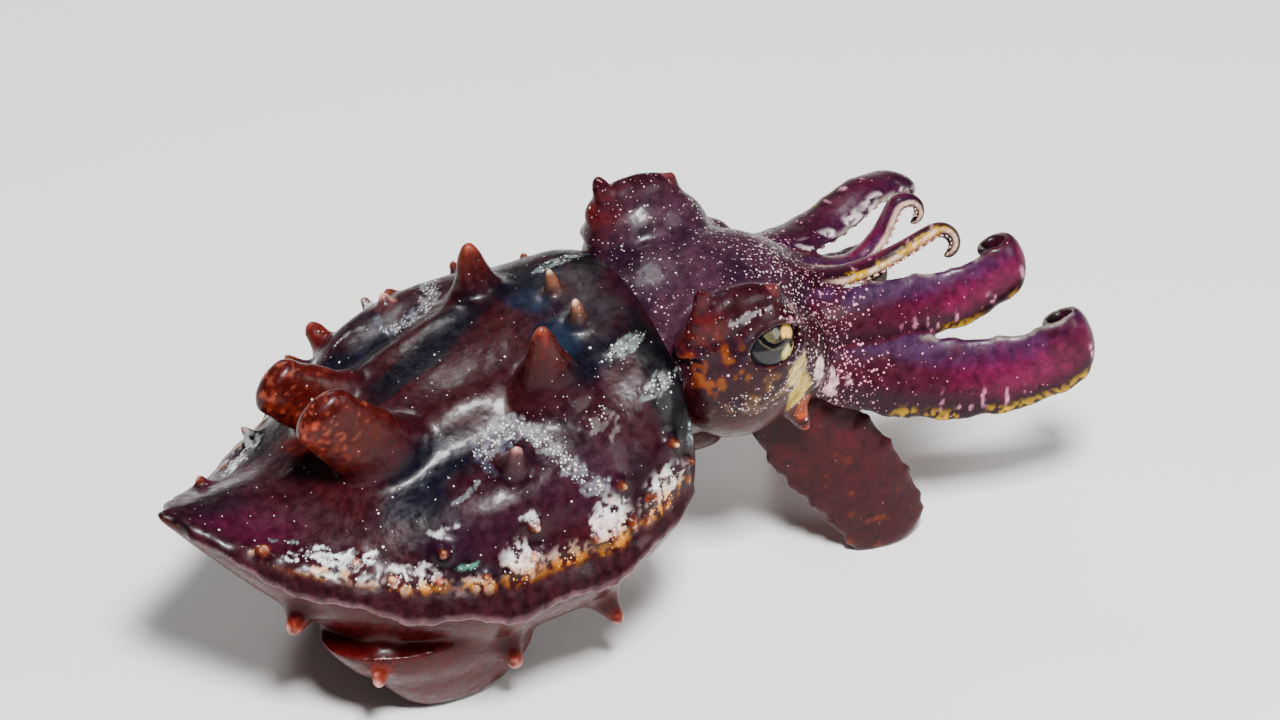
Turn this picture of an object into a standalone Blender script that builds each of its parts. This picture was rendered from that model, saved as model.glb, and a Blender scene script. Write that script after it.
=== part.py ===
"""A flamboyant cuttlefish at life size, walking on the sea floor with its arms held out.

Sizes are in millimetres and become Blender's metres where a mesh is made. +X points from the tail
to the arm tips, +Y to the animal's left and +Z up, and Z = 0 is the floor. X is counted from the
tail tip, and stand_at_origin moves the finished animal so that the origin is under its middle.
"""

import math
from typing import NamedTuple

import bmesh
import bpy
import numpy as np

MM = 0.001
GAP = 0.3  # left between two nodes that touch

# Mantle, from the tail tip to its open front edge, where the head comes out.
MANTLE_LENGTH = 60.0
MANTLE_X = (0.0, 6.0, 15.0, 24.0, 34.0, 46.0, 56.0, MANTLE_LENGTH)
MANTLE_HALF_WIDTH = (0.5, 6.3, 12.8, 17.3, 20.4, 20.8, 18.2, 16.0)
MANTLE_SIDE_Z = (30.2, 28.0, 25.8, 24.6, 24.0, 24.0, 24.4, 25.0)
MANTLE_TOP_Z = (30.5, 29.8, 29.6, 33.2, 37.2, 39.4, 40.3, 40.3)
MANTLE_BELLY_Z = (29.5, 22.5, 12.8, 6.6, 4.6, 5.6, 9.4, 12.0)
MANTLE_RIDGE = (1.7, 1.7, 1.5, 1.25, 1.0, 0.95, 0.9, 0.9)  # over 1 pinches the back to a keel
MANTLE_STATIONS = 25
MANTLE_AROUND = 36
MANTLE_ROLL = 0.1  # the left side rides higher, by this much for each millimetre out
REAR_FROM, REAR_TO = 8.0, 30.0  # along these the left side of the tail drops and narrows
REAR_DROP, REAR_SLIM = 0.4, 0.15

# Swellings and hollows of the mantle on both sides: place along X, angle above the side line,
# reach along X, reach in angle, height.
MANTLE_RELIEF = (
    (33.0, 58.0, 8.0, 13.0, -1.7),
    (13.0, 52.0, 6.0, 20.0, -1.0),
    (38.0, 36.0, 7.0, 12.0, 0.9),
    (50.5, 62.0, 3.0, 26.0, -0.8),
    (57.5, 50.0, 3.0, 60.0, 0.5),
    (30.0, 6.0, 26.0, 6.0, 0.8),
    (37.5, 76.0, 8.0, 9.0, 0.9),
)

# Collar: the mantle is hollow in front, with a thin rim, and the neck stands in the hollow.
COLLAR_X = (54.0, 57.0, MANTLE_LENGTH, MANTLE_LENGTH + 1.5)
COLLAR_WALL = (5.4, 2.4, 1.3, 1.0)

# Fins, a low frill that hangs along each side of the mantle.
FIN_FROM, FIN_TO = 2.0, 59.0
FIN_WIDTH = 4.6
FIN_ROOT_THICK, FIN_EDGE_THICK = 1.9, 0.8
FIN_WAVES, FIN_WAVE = 5.0, 0.55
FIN_DROOP = {"right": 52.0, "left": 46.0}  # degrees below level
FIN_STATIONS, FIN_ACROSS = 30, 3

# Walking flaps, the two lobes under the belly that carry the rear of the animal. Each row is the
# height, the middle along X, the middle across, half the length and half the width.
FLAP_ROWS = (
    (0.0, 31.0, 11.2, 4.6, 1.9),
    (0.8, 31.2, 11.3, 6.2, 2.6),
    (3.0, 31.4, 11.3, 8.4, 3.6),
    (6.0, 30.8, 10.8, 10.6, 5.0),
    (9.0, 29.6, 10.2, 12.4, 6.6),
    (12.0, 28.6, 9.6, 13.4, 7.6),
)

# Head, from the neck to the front face that the arms grow from.
NECK_X = COLLAR_X[0] + GAP
HEAD_X = (NECK_X, 60.3, 65.0, 71.0, 76.0, 80.0, 83.2)
HEAD_HALF_WIDTH = (9.4, 11.8, 12.2, 11.4, 10.2, 8.4, 6.2)
HEAD_CENTRE_Z = (27.2, 29.4, 30.4, 31.0, 30.8, 30.2, 29.4)
HEAD_HALF_HEIGHT = (6.2, 9.0, 9.8, 9.6, 8.8, 7.4, 5.4)
HEAD_STATIONS = 11
HEAD_AROUND = 22
BULGE_CENTRE = (68.6, 10.8, 33.2)
BULGE_RADII = (8.4, 6.0, 9.9)
BROW_CENTRE = (67.2, 11.9, 41.2)
BROW_RADII = (6.2, 2.5, 3.6)

# Eyes, set in the outer face of the bulges. The lids are a low rim, thicker above.
EYE_CENTRE = (70.2, 11.9, 36.6)
EYE_OUTWARD = (0.12, 0.93, 0.33)
EYE_RADIUS = 4.3
LID_HALF_LENGTH, LID_HALF_HEIGHT = 3.95, 2.95
LID_THICK, LID_HOOD = 0.7, 0.6
LID_OUT = 3.3

# Funnel under the neck, an open tube.
FUNNEL_FROM, FUNNEL_TO = (NECK_X, 0.0, 18.4), (71.5, 0.0, 15.6)
FUNNEL_RADII = (4.0, 2.7)
FUNNEL_BORE = 1.6
FUNNEL_DEPTH = 5.0

# Mouth, the ring of lips in the middle of the arms, with the beak tip in it.
MOUTH_CENTRE = (HEAD_X[-1] + GAP, 0.0, 28.4)
MOUTH_RADIUS, MOUTH_LENGTH = 2.8, 2.3
BEAK_RADIUS, BEAK_LENGTH = 1.1, 1.7

# Arms. Each list is the width at the root, part of the way out, where the coil starts, half way
# round it and at the tip, beside the widest.
BLADE = (0.68, 1.0, 0.84, 0.5, 0.22)
CURL = (0.68, 1.0, 0.88, 0.36, 0.14)
PADDLE = (0.62, 0.98, 0.78, 0.6, 0.25)
ARM_BROAD_AT = 0.42
ARM_ROOT_DEEP = 1.1  # how much thicker an arm is at its root
ARM_SPLIT = 0.58
ARM_RINGS = {"base": 8, "tip": 11}
ARM_AROUND = 8
ORAL_SHARE = 0.62  # how deep the sucker face bulges, beside the outer face
SUCKER_ROWS = (-0.36, 0.36)
SUCKERS_FROM = 0.36
SUCKER_STEP = 3.6
SUCKER_RADIUS, SUCKER_RISE = 0.62, 0.6
SUCKER_SIDES = 6

FLOOR_CUT = (200.0, 200.0, 40.0)

COLOURS = {
    "mantle_skin": (0.13, 0.035, 0.055),
    "fin_skin": (0.30, 0.14, 0.12),
    "head_skin": (0.17, 0.045, 0.05),
    "arm_skin": (0.24, 0.05, 0.13),
    "eye": (0.10, 0.08, 0.06),
    "beak": (0.05, 0.03, 0.02),
}
ROUGHNESS = {"eye": 0.1, "beak": 0.3}


class Arm(NamedTuple):
    """One arm. It follows the route, then coils towards its suckers. Facing is its outer face.

    Drift moves the coil sideways as it turns, so that it winds like a spring.
    """

    route: tuple
    facing: tuple
    half_width: float
    thick: float
    twist: float
    coil: float
    coil_radius: float
    widths: tuple = BLADE
    drift: float = 0.0


ARMS = {
    "arm_1_right": Arm(
        ((76.5, -2.9, 36.6), (85, -2.8, 33.4), (92, -2.5, 33.0), (98.8, -3.4, 35.6)),
        (0.1, 0.1, 1.0), 2.7, 2.3, -45, 225, 1.9,
    ),
    "arm_1_left": Arm(
        ((76.5, 2.9, 36.2), (85, 2.6, 31.8), (91.5, 2.8, 29.6), (95.4, 3.4, 31.4), (97.6, 3.8, 34.7)),
        (0.0, 0.1, 1.0), 2.5, 2.2, -35, 260, 1.9,
    ),
    "arm_2_right": Arm(
        ((76.5, -6.6, 33.6), (84, -7.8, 31.2), (91, -9.0, 30.9), (98, -10.3, 31.0),
         (103.6, -11.5, 33.6)),
        (0.0, -0.75, 0.66), 4.0, 2.3, 40, 350, 2.3, CURL, -0.25,
    ),
    "arm_2_left": Arm(
        ((76.5, 6.6, 33.5), (84, 7.6, 31.6), (91, 9.2, 31.0), (97.6, 10.7, 32.4),
         (102.0, 11.7, 31.8)),
        (0.0, 0.25, 0.97), 4.2, 2.4, 0, 170, 2.4,
    ),
    "arm_3_right": Arm(
        ((76.0, -8.0, 28.6), (86.7, -11.5, 25.0), (95, -14.6, 23.0), (103, -17.6, 23.4),
         (107.9, -19.3, 25.6)),
        (0.0, -0.8, 0.6), 5.1, 2.5, 40, 350, 2.5, CURL, -0.25,
    ),
    "arm_3_left": Arm(
        ((76.0, 8.0, 28.6), (85, 11.4, 24.4), (93, 14.2, 19.4), (100, 16.6, 17.0)),
        (0.1, 0.74, 0.67), 4.7, 2.7, -30, 225, 2.4,
    ),
    "arm_4_right": Arm(
        ((74.5, -5.4, 25.0), (79.0, -9.0, 17.6), (84.0, -11.4, 10.2), (88.4, -12.7, 1.6)),
        (-0.18, -0.96, 0.22), 6.4, 2.6, 0, 20, 9.0, PADDLE,
    ),
    "arm_4_left": Arm(
        ((74.5, 5.4, 25.0), (80, 8.4, 17.8), (86.0, 10.6, 10.0), (91.0, 12.0, 1.6)),
        (-0.18, 0.96, 0.22), 6.4, 2.6, 0, 20, 9.0, PADDLE,
    ),
}


class Papilla(NamedTuple):
    """One skin horn. The radii are (along X, across) at its flared root and at its blunt tip."""

    root: tuple
    tip: tuple
    root_radii: tuple
    tip_radii: tuple


# The two lobes at the rear of the back. The right one is held more upright.
LOBES = (
    Papilla((27.8, -5.0, 29.8), (16.6, -5.9, 42.9), (5.4, 4.2), (3.9, 2.2)),
    Papilla((27.8, 5.0, 29.8), (16.6, 5.8, 38.8), (5.4, 4.2), (3.5, 2.2)),
)
# Two more stand on the left shoulder alone.
LEFT_HORNS = (
    Papilla((31.8, 15.6, 26.8), (29.7, 21.4, 31.6), (3.4, 3.0), (1.3, 1.1)),
    Papilla((40.6, 15.4, 29.4), (38.9, 19.6, 34.2), (3.4, 3.0), (1.3, 1.1)),
)
# The other horns are given for the left side, and each has its mirror image on the right.
BACK_HORNS = (
    Papilla((45.5, 8.0, 34.5), (44.0, 8.8, 46.2), (7.0, 5.4), (1.5, 1.1)),
    Papilla((52.5, 3.0, 37.5), (51.4, 3.1, 43.6), (2.8, 2.2), (0.7, 0.6)),
    Papilla((37.5, 14.0, 30.0), (36.8, 16.2, 37.0), (3.8, 3.2), (1.2, 1.0)),
)
SIDE_HORN_X = (9.0, 18.0, 27.0, 37.0, 48.0, 56.0)
SIDE_HORN_ANGLE = 24.0
SIDE_HORN_LENGTH = (1.6, 2.4, 3.2, 2.4, 2.6, 2.0)
BELLY_HORN_X = (13.0, 21.6, 35.6, 48.0)
BELLY_HORN_ANGLE = -42.0
BELLY_HORN_LENGTH = 3.0
SMALL_HORN_RADII = (1.9, 0.6)
HORN_STOPS = (0.0, 0.18, 0.38, 0.6, 0.8, 0.93, 1.0)
SMALL_HORN_STOPS = (0.0, 0.4, 0.8, 1.0)
HEAD_HORNS = (
    Papilla((64.6, 11.4, 39.0), (62.5, 12.0, 46.6), (4.6, 3.4), (1.3, 0.9)),
    Papilla((71.4, 11.4, 38.5), (72.4, 12.1, 43.8), (3.4, 2.8), (0.9, 0.8)),
    Papilla((74.6, 11.2, 26.0), (76.4, 13.4, 21.8), (3.0, 2.6), (0.9, 0.8)),
)


def material(slot):
    """The Principled material of one slot, made once."""
    made = bpy.data.materials.get(slot)
    if made is None:
        made = bpy.data.materials.new(slot)
        made.use_nodes = True
        shader = made.node_tree.nodes["Principled BSDF"]
        shader.inputs["Base Color"].default_value = (*COLOURS[slot], 1.0)
        shader.inputs["Roughness"].default_value = ROUGHNESS.get(slot, 0.4)
        shader.inputs["Metallic"].default_value = 0.0
    return made


def smooth(knots, values, x):
    """A smooth curve through the values at the knots, with no overshoot between them."""
    knots, values = np.asarray(knots, float), np.asarray(values, float)
    step = np.diff(knots)
    slope = np.diff(values) / step
    bend = np.zeros_like(values)
    before, after = slope[:-1], slope[1:]
    same_way = before * after > 0
    bend[1:-1][same_way] = (2 * before * after)[same_way] / (before + after)[same_way]
    bend[0], bend[-1] = slope[0], slope[-1]
    k = np.clip(np.searchsorted(knots, x) - 1, 0, len(step) - 1)
    t = (x - knots[k]) / step[k]
    rise = bend[k] * (t - 2 * t**2 + t**3) - bend[k + 1] * (t**2 - t**3)
    return values[k] + (values[k + 1] - values[k]) * (3 * t**2 - 2 * t**3) + rise * step[k]


def unit(vector):
    """The vector at length 1."""
    vector = np.asarray(vector, float)
    return vector / np.linalg.norm(vector)


def turned(vector, axis, angle):
    """The vector turned about a unit axis by an angle in radians."""
    along = axis * (axis @ vector)
    return (
        along
        + (vector - along) * math.cos(angle)
        + np.cross(axis, vector) * math.sin(angle)
    )


def signed_power(value, power):
    """The value's size raised to a power, with its sign kept."""
    return np.sign(value) * np.abs(value) ** power


def mirrored(point, side):
    """A point given for +Y, on the side asked for."""
    x, y, z = point
    return (x, y if side == "left" else -y, z)


def mesh_object(name, points, faces, slot):
    """A new object from points in millimetres, with its faces turned outwards."""
    mesh = bpy.data.meshes.new(name)
    mesh.from_pydata([tuple(p) for p in np.asarray(points, float) * MM], [], faces)
    shell = bmesh.new()
    shell.from_mesh(mesh)
    bmesh.ops.recalc_face_normals(shell, faces=shell.faces)
    shell.to_mesh(mesh)
    shell.free()
    mesh.materials.append(material(slot))
    made = bpy.data.objects.new(name, mesh)
    bpy.context.scene.collection.objects.link(made)
    return made


def loft(name, rings, slot):
    """A closed solid through rings of points that all have the same count."""
    around = len(rings[0])
    faces = []
    for r in range(len(rings) - 1):
        for k in range(around):
            a, b = r * around + k, r * around + (k + 1) % around
            faces.append((a, b, b + around, a + around))
    faces.append(tuple(range(around)))
    faces.append(tuple(range((len(rings) - 1) * around, len(rings) * around)))
    return mesh_object(name, np.concatenate(rings), faces, slot)


def ellipsoid(name, centre, radii, slot, around=14, rows=8):
    """A closed ellipsoid with its poles on its Z axis."""
    rings = []
    for row in range(rows + 1):
        tilt = math.pi * (0.03 + 0.94 * row / rows)
        turn = np.linspace(0, 2 * math.pi, around, endpoint=False)
        ring = np.stack(
            [np.cos(turn) * math.sin(tilt), np.sin(turn) * math.sin(tilt),
             np.full(around, -math.cos(tilt))], axis=1,
        )
        rings.append(np.asarray(centre) + ring * np.asarray(radii))
    return loft(name, rings, slot)


def horn(name, papilla, slot, margin=0.0, around=8, stops=HORN_STOPS):
    """A skin horn: a flared root that narrows in a hollow curve to a rounded tip."""
    root, tip = np.asarray(papilla.root, float), np.asarray(papilla.tip, float)
    axis = unit(tip - root)
    tip = tip + axis * margin
    across = unit(np.cross(axis, (1.0, 0.0, 0.0)))
    along = np.cross(across, axis)
    turn = np.linspace(0, 2 * math.pi, around, endpoint=False)
    rings = []
    for t in stops:
        flare = (1 - t) ** 2.1
        round_off = math.sqrt(max(0.0, 1 - (max(t - 0.74, 0) / 0.29) ** 2))
        wide, deep = (
            (end + (start - end) * flare) * round_off + margin
            for start, end in zip(papilla.root_radii, papilla.tip_radii)
        )
        centre = root + (tip - root) * t
        rings.append(
            centre + np.outer(np.cos(turn) * wide, along) + np.outer(np.sin(turn) * deep, across)
        )
    return loft(name, rings, slot)


def evaluated(target):
    """Applies the modifiers of an object to its mesh."""
    graph = bpy.context.evaluated_depsgraph_get()
    mesh = bpy.data.meshes.new_from_object(target.evaluated_get(graph))
    target.modifiers.clear()
    target.data = mesh


def keep_largest(target):
    """Drops all but the largest closed surface of a mesh."""
    shell = bmesh.new()
    shell.from_mesh(target.data)
    left = set(shell.verts)
    pieces = []
    while left:
        piece, grow = set(), [left.pop()]
        while grow:
            corner = grow.pop()
            piece.add(corner)
            near = {edge.other_vert(corner) for edge in corner.link_edges} & left
            left -= near
            grow.extend(near)
        pieces.append(piece)
    pieces.sort(key=len)
    for piece in pieces[:-1]:
        bmesh.ops.delete(shell, geom=list(piece), context="VERTS")
    shell.to_mesh(target.data)
    shell.free()


def boolean(target, others, operation):
    """Joins or cuts the target with other objects, then removes them."""
    helpers = bpy.data.collections.new("helpers")
    bpy.context.scene.collection.children.link(helpers)
    for other in others:
        bpy.context.scene.collection.objects.unlink(other)
        helpers.objects.link(other)
    step = target.modifiers.new(operation.lower(), "BOOLEAN")
    step.operation = operation
    step.operand_type = "COLLECTION"
    step.collection = helpers
    step.solver = "MANIFOLD"
    evaluated(target)
    for other in others:
        bpy.data.objects.remove(other)
    bpy.data.collections.remove(helpers)
    keep_largest(target)
    return target


def fused(target, others):
    """The target with the others joined to it."""
    return boolean(target, others, "UNION") if others else target


def cut(target, others):
    """The target with the others taken out of it."""
    return boolean(target, others, "DIFFERENCE") if others else target


def finished(target):
    """Shades a node smooth, with its creases kept sharp."""
    target.data.shade_smooth()
    target.data.set_sharp_from_angle(angle=math.radians(50))
    return target


# Mantle


def relief(x, angle):
    """How far the swellings and hollows move the mantle's skin out at a place."""
    above = math.degrees(math.asin(math.sin(angle)))
    total = 0.0
    for middle, high, along, over, height in MANTLE_RELIEF:
        away = ((x - middle) / along) ** 2 + ((above - high) / over) ** 2
        total += height * math.exp(-away)
    return total


def mantle_point(x, angle, margin=0.0):
    """A point of the mantle's skin. The angle runs from the left side (0) over the back (90)."""
    side = smooth(MANTLE_X, MANTLE_SIDE_Z, x)
    lift = math.sin(angle)
    if lift > 0:
        height = smooth(MANTLE_X, MANTLE_TOP_Z, x) - side
        z = height * lift ** float(smooth(MANTLE_X, MANTLE_RIDGE, x))
    else:
        height = side - smooth(MANTLE_X, MANTLE_BELLY_Z, x)
        z = -height * abs(lift) ** 0.95
    y = smooth(MANTLE_X, MANTLE_HALF_WIDTH, x) * signed_power(math.cos(angle), 0.92)
    reach = math.hypot(y, z)
    grown = 1 + (margin + min(1.0, reach / 6) * relief(x, angle)) / max(reach, 0.3)
    y, z = float(y) * grown, float(z) * grown
    rear = min(max((REAR_TO - x) / (REAR_TO - REAR_FROM), 0.0), 1.0) if y > 0 else 0.0
    rear *= 1 + min(lift, 0.0)
    y *= 1 - REAR_SLIM * rear
    z += side + MANTLE_ROLL * y * min(1.0, (76 - x) / 30) - REAR_DROP * y * rear
    return np.array((x, y, z))


def mantle_out(x, angle):
    """The direction straight out of the mantle's skin."""
    step = 0.4
    ahead = mantle_point(x + step, angle) - mantle_point(x - step, angle)
    over = mantle_point(x, angle + 0.03) - mantle_point(x, angle - 0.03)
    out = unit(np.cross(ahead, over))
    middle = np.array((x, 0.0, smooth(MANTLE_X, MANTLE_SIDE_Z, x)))
    return out if out @ (mantle_point(x, angle) - middle) > 0 else -out


def small_horn(x, degrees, length, side, margin):
    """A small horn set straight out of the mantle's skin."""
    angle = math.radians(degrees if side == "left" else 180 - degrees)
    foot, out = mantle_point(x, angle), mantle_out(x, angle)
    root_radius, tip_radius = SMALL_HORN_RADII
    papilla = Papilla(foot - out * 1.6, foot + out * length, (root_radius,) * 2, (tip_radius,) * 2)
    return horn("horn", papilla, "mantle_skin", margin, around=6, stops=SMALL_HORN_STOPS)


def mantle_ring(x, margin=0.0):
    """A ring of points round the mantle."""
    turn = np.linspace(0, 2 * math.pi, MANTLE_AROUND, endpoint=False)
    return np.array([mantle_point(x, angle, margin) for angle in turn])


def mantle_solid(margin=0.0):
    """The mantle with its horns and no collar. A margin grows it, for use as a cutter."""
    share = np.linspace(0, 1, MANTLE_STATIONS)
    stations = MANTLE_LENGTH * (0.25 * share + 0.75 * share**1.5)
    rings = [mantle_ring(x, margin) for x in stations]
    rings[0][:, 0] -= margin
    rings[-1][:, 0] += margin
    body = loft("mantle", rings, "mantle_skin")
    horns = [horn("horn", lobe, "mantle_skin", margin, around=12) for lobe in LOBES]
    horns += [horn("horn", papilla, "mantle_skin", margin) for papilla in LEFT_HORNS]
    for side in ("left", "right"):
        for papilla in BACK_HORNS:
            placed = papilla._replace(
                root=mirrored(papilla.root, side), tip=mirrored(papilla.tip, side)
            )
            horns.append(horn("horn", placed, "mantle_skin", margin))
        for x, length in zip(SIDE_HORN_X, SIDE_HORN_LENGTH):
            horns.append(small_horn(x, SIDE_HORN_ANGLE, length, side, margin))
        for x in BELLY_HORN_X:
            horns.append(small_horn(x, BELLY_HORN_ANGLE, BELLY_HORN_LENGTH, side, margin))
    return fused(body, horns)


def mantle():
    """The mantle, hollow inside its collar."""
    walls = zip(COLLAR_X, COLLAR_WALL)
    hollow = loft("hollow", [mantle_ring(x, -wall) for x, wall in walls], "mantle_skin")
    return finished(cut(mantle_solid(), [hollow]))


def fin(side):
    """A thin waved frill along one side of the mantle, with triangles alike on both faces."""
    sign = 1 if side == "left" else -1
    droop = math.radians(FIN_DROOP[side])
    upper, lower = [], []
    for s in np.linspace(0, 1, FIN_STATIONS):
        x = FIN_FROM + (FIN_TO - FIN_FROM) * s
        root = mantle_point(x, 0.0 if side == "left" else math.pi)
        width = FIN_WIDTH * math.sin(math.pi * min(max(s, 0.03), 0.97)) ** 0.45
        wave = FIN_WAVE * math.sin(2 * math.pi * FIN_WAVES * s)
        for t in np.linspace(0, 1, FIN_ACROSS):
            reach = -2.0 + (width + 2.0) * t
            thick = FIN_ROOT_THICK + (FIN_EDGE_THICK - FIN_ROOT_THICK) * t
            bend = droop * (0.35 + 0.65 * t)
            out = np.array((0.0, sign * math.cos(bend), -math.sin(bend)))
            up = np.array((0.0, sign * math.sin(bend), math.cos(bend)))
            middle = root + out * reach + (0.0, 0.0, wave * t)
            upper.append(middle + up * thick / 2)
            lower.append(middle - up * thick / 2)
    count = len(upper)
    faces = []
    for i in range(FIN_STATIONS - 1):
        for j in range(FIN_ACROSS - 1):
            a = i * FIN_ACROSS + j
            b, c, d = a + 1, a + FIN_ACROSS + 1, a + FIN_ACROSS
            for offset in (0, count):
                faces += [(a + offset, b + offset, c + offset)]
                faces += [(a + offset, c + offset, d + offset)]
    rim = [i * FIN_ACROSS for i in range(FIN_STATIONS)]
    rim += [(FIN_STATIONS - 1) * FIN_ACROSS + j for j in range(1, FIN_ACROSS)]
    rim += [i * FIN_ACROSS + FIN_ACROSS - 1 for i in range(FIN_STATIONS - 2, -1, -1)]
    rim += [j for j in range(FIN_ACROSS - 2, 0, -1)]
    for k, a in enumerate(rim):
        b = rim[(k + 1) % len(rim)]
        faces += [(a, b, b + count), (a, b + count, a + count)]
    made = mesh_object(f"fin_{side}", upper + lower, faces, "fin_skin")
    return finished(cut(made, [mantle_solid(GAP)]))


def walking_flap(side):
    """A belly lobe that narrows to a flat sole on the floor."""
    turn = np.linspace(0, 2 * math.pi, 20, endpoint=False)
    rings = []
    for z, x, y, half_length, half_width in FLAP_ROWS:
        _, y, _ = mirrored((x, y, z), side)
        ring = [np.cos(turn) * half_length + x, np.sin(turn) * half_width + y, np.full(20, z)]
        rings.append(np.stack(ring, axis=1))
    lobe = loft(f"walking_flap_{side}", rings, "mantle_skin")
    return finished(cut(lobe, [mantle_solid(GAP)]))


# Head


def head_solid(margin=0.0):
    """The head with its eye bulges, brows and horns. A margin grows it, for use as a cutter."""
    turn = np.linspace(0, 2 * math.pi, HEAD_AROUND, endpoint=False)
    rings = []
    for x in np.linspace(HEAD_X[0], HEAD_X[-1], HEAD_STATIONS):
        width = smooth(HEAD_X, HEAD_HALF_WIDTH, x) + margin
        height = smooth(HEAD_X, HEAD_HALF_HEIGHT, x) + margin
        y = width * signed_power(np.cos(turn), 0.9)
        z = smooth(HEAD_X, HEAD_CENTRE_Z, x) + height * signed_power(np.sin(turn), 0.9)
        rings.append(np.stack([np.full(HEAD_AROUND, x), y, z], axis=1))
    rings[0][:, 0] -= margin
    rings[-1][:, 0] += margin
    body = loft("head", rings, "head_skin")
    others = []
    for side in ("left", "right"):
        for centre, radii in ((BULGE_CENTRE, BULGE_RADII), (BROW_CENTRE, BROW_RADII)):
            grown = tuple(r + margin for r in radii)
            others.append(ellipsoid("bulge", mirrored(centre, side), grown, "head_skin"))
        for papilla in HEAD_HORNS:
            placed = papilla._replace(
                root=mirrored(papilla.root, side), tip=mirrored(papilla.tip, side)
            )
            others.append(horn("horn", placed, "head_skin", margin))
    return fused(body, others)


def eye_frame(side):
    """The centre of an eye and its outward, forward and upward directions."""
    outward = unit(mirrored(EYE_OUTWARD, side))
    forward = unit(np.cross(outward, (0.0, 0.0, 1.0)))
    if forward[0] < 0:
        forward = -forward
    upward = unit(np.cross(forward, outward))
    if upward[2] < 0:
        upward = -upward
    return np.array(mirrored(EYE_CENTRE, side)), outward, forward, upward


def lids(side):
    """The rim of skin round an eye: an oval ring that is thicker above."""
    centre, outward, forward, upward = eye_frame(side)
    around, tube = 18, 6
    middle = centre + outward * LID_OUT
    points, faces = [], []
    for i in range(around):
        turn = 2 * math.pi * i / around
        spoke = unit(forward * math.cos(turn) + upward * math.sin(turn))
        oval = forward * math.cos(turn) * LID_HALF_LENGTH + upward * math.sin(turn) * LID_HALF_HEIGHT
        thick = LID_THICK + LID_HOOD * max(0.0, math.sin(turn))
        for j in range(tube):
            roll = 2 * math.pi * j / tube
            bulge = spoke * math.cos(roll) + outward * math.sin(roll)
            points.append(middle + oval + bulge * thick)
            a, b = i * tube + j, i * tube + (j + 1) % tube
            ahead = tube if i < around - 1 else tube * (1 - around)
            faces.append((a, b, b + ahead, a + ahead))
    return mesh_object("lids", points, faces, "head_skin")


def lid_opening(side):
    """The cutter that opens the skin between the lids."""
    centre, outward, forward, upward = eye_frame(side)
    turn = np.linspace(0, 2 * math.pi, 20, endpoint=False)
    rings = []
    for out, inset in ((0.5, 0.45), (LID_OUT, 0.35), (LID_OUT + 4, -0.4)):
        long = np.outer(np.cos(turn) * (LID_HALF_LENGTH - inset), forward)
        high = np.outer(np.sin(turn) * (LID_HALF_HEIGHT - inset), upward)
        rings.append(centre + outward * out + long + high)
    return loft("opening", rings, "head_skin")


def eyeball(name, side, margin=0.0):
    """A round eyeball. A margin grows it, for use as a cutter."""
    centre = eye_frame(side)[0]
    return ellipsoid(name, centre, (EYE_RADIUS + margin,) * 3, "eye", around=16, rows=9)


def head():
    """The head with its lids, and a socket for each eye."""
    made = fused(head_solid(), [lids("left"), lids("right")])
    cutters = []
    for side in ("left", "right"):
        cutters += [eyeball("socket", side, GAP), lid_opening(side)]
    return finished(cut(made, cutters))


def funnel():
    """The funnel, a tapered tube under the neck that is open in front."""
    start, end = np.array(FUNNEL_FROM), np.array(FUNNEL_TO)
    turn = np.linspace(0, 2 * math.pi, 16, endpoint=False)

    def ring(centre, radius):
        return centre + np.stack(
            [np.zeros(16), np.cos(turn) * radius, np.sin(turn) * radius], axis=1
        )

    shares = (0.0, 0.35, 0.7, 0.95, 1.0)
    wide, narrow = FUNNEL_RADII
    rings = [ring(start + (end - start) * s, wide + (narrow - wide) * s) for s in shares]
    rings[-1] = ring(end, narrow - 0.4)
    body = loft("funnel", rings, "head_skin")
    inside = start + (end - start) * (1 - FUNNEL_DEPTH / (end[0] - start[0]))
    beyond = end + (2.0, 0.0, 0.0)
    bore = loft("bore", [ring(inside, FUNNEL_BORE * 0.7), ring(beyond, FUNNEL_BORE)], "head_skin")
    return finished(cut(body, [bore, head_solid(GAP)]))


def mouth():
    """The lips: a low ring in front of the head, hollow for the beak."""
    turn = np.linspace(0, 2 * math.pi, 18, endpoint=False)
    x, y, z = MOUTH_CENTRE
    rings = []
    for out, radius in ((0.0, 1.0), (0.45, 1.02), (0.8, 0.86), (1.0, 0.62), (0.8, 0.5), (0.3, 0.44)):
        reach = MOUTH_RADIUS * radius
        rings.append(
            np.stack(
                [np.full(18, x + MOUTH_LENGTH * out), y + np.cos(turn) * reach,
                 z + np.sin(turn) * reach], axis=1,
            )
        )
    return finished(cut(loft("mouth", rings, "head_skin"), arm_cutters(ARMS.values())))


def beak():
    """The beak tip, a short cone that sits in the lips."""
    turn = np.linspace(0, 2 * math.pi, 12, endpoint=False)
    x, y, z = MOUTH_CENTRE
    foot = x + MOUTH_LENGTH * 0.3 + GAP
    rings = []
    for out, radius in ((0.0, 0.95), (0.4, 0.8), (0.75, 0.45), (1.0, 0.12)):
        reach = BEAK_RADIUS * radius
        rings.append(
            np.stack(
                [np.full(12, foot + BEAK_LENGTH * out), y + np.cos(turn) * reach * 0.8,
                 z + np.sin(turn) * reach - 0.3 * out], axis=1,
            )
        )
    return finished(loft("beak", rings, "beak"))


# Arms


class Stop(NamedTuple):
    """A place along an arm: its share of the length, its frame, and the width beside the widest."""

    s: float
    place: np.ndarray
    heading: np.ndarray
    outer: np.ndarray
    share: float


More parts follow.
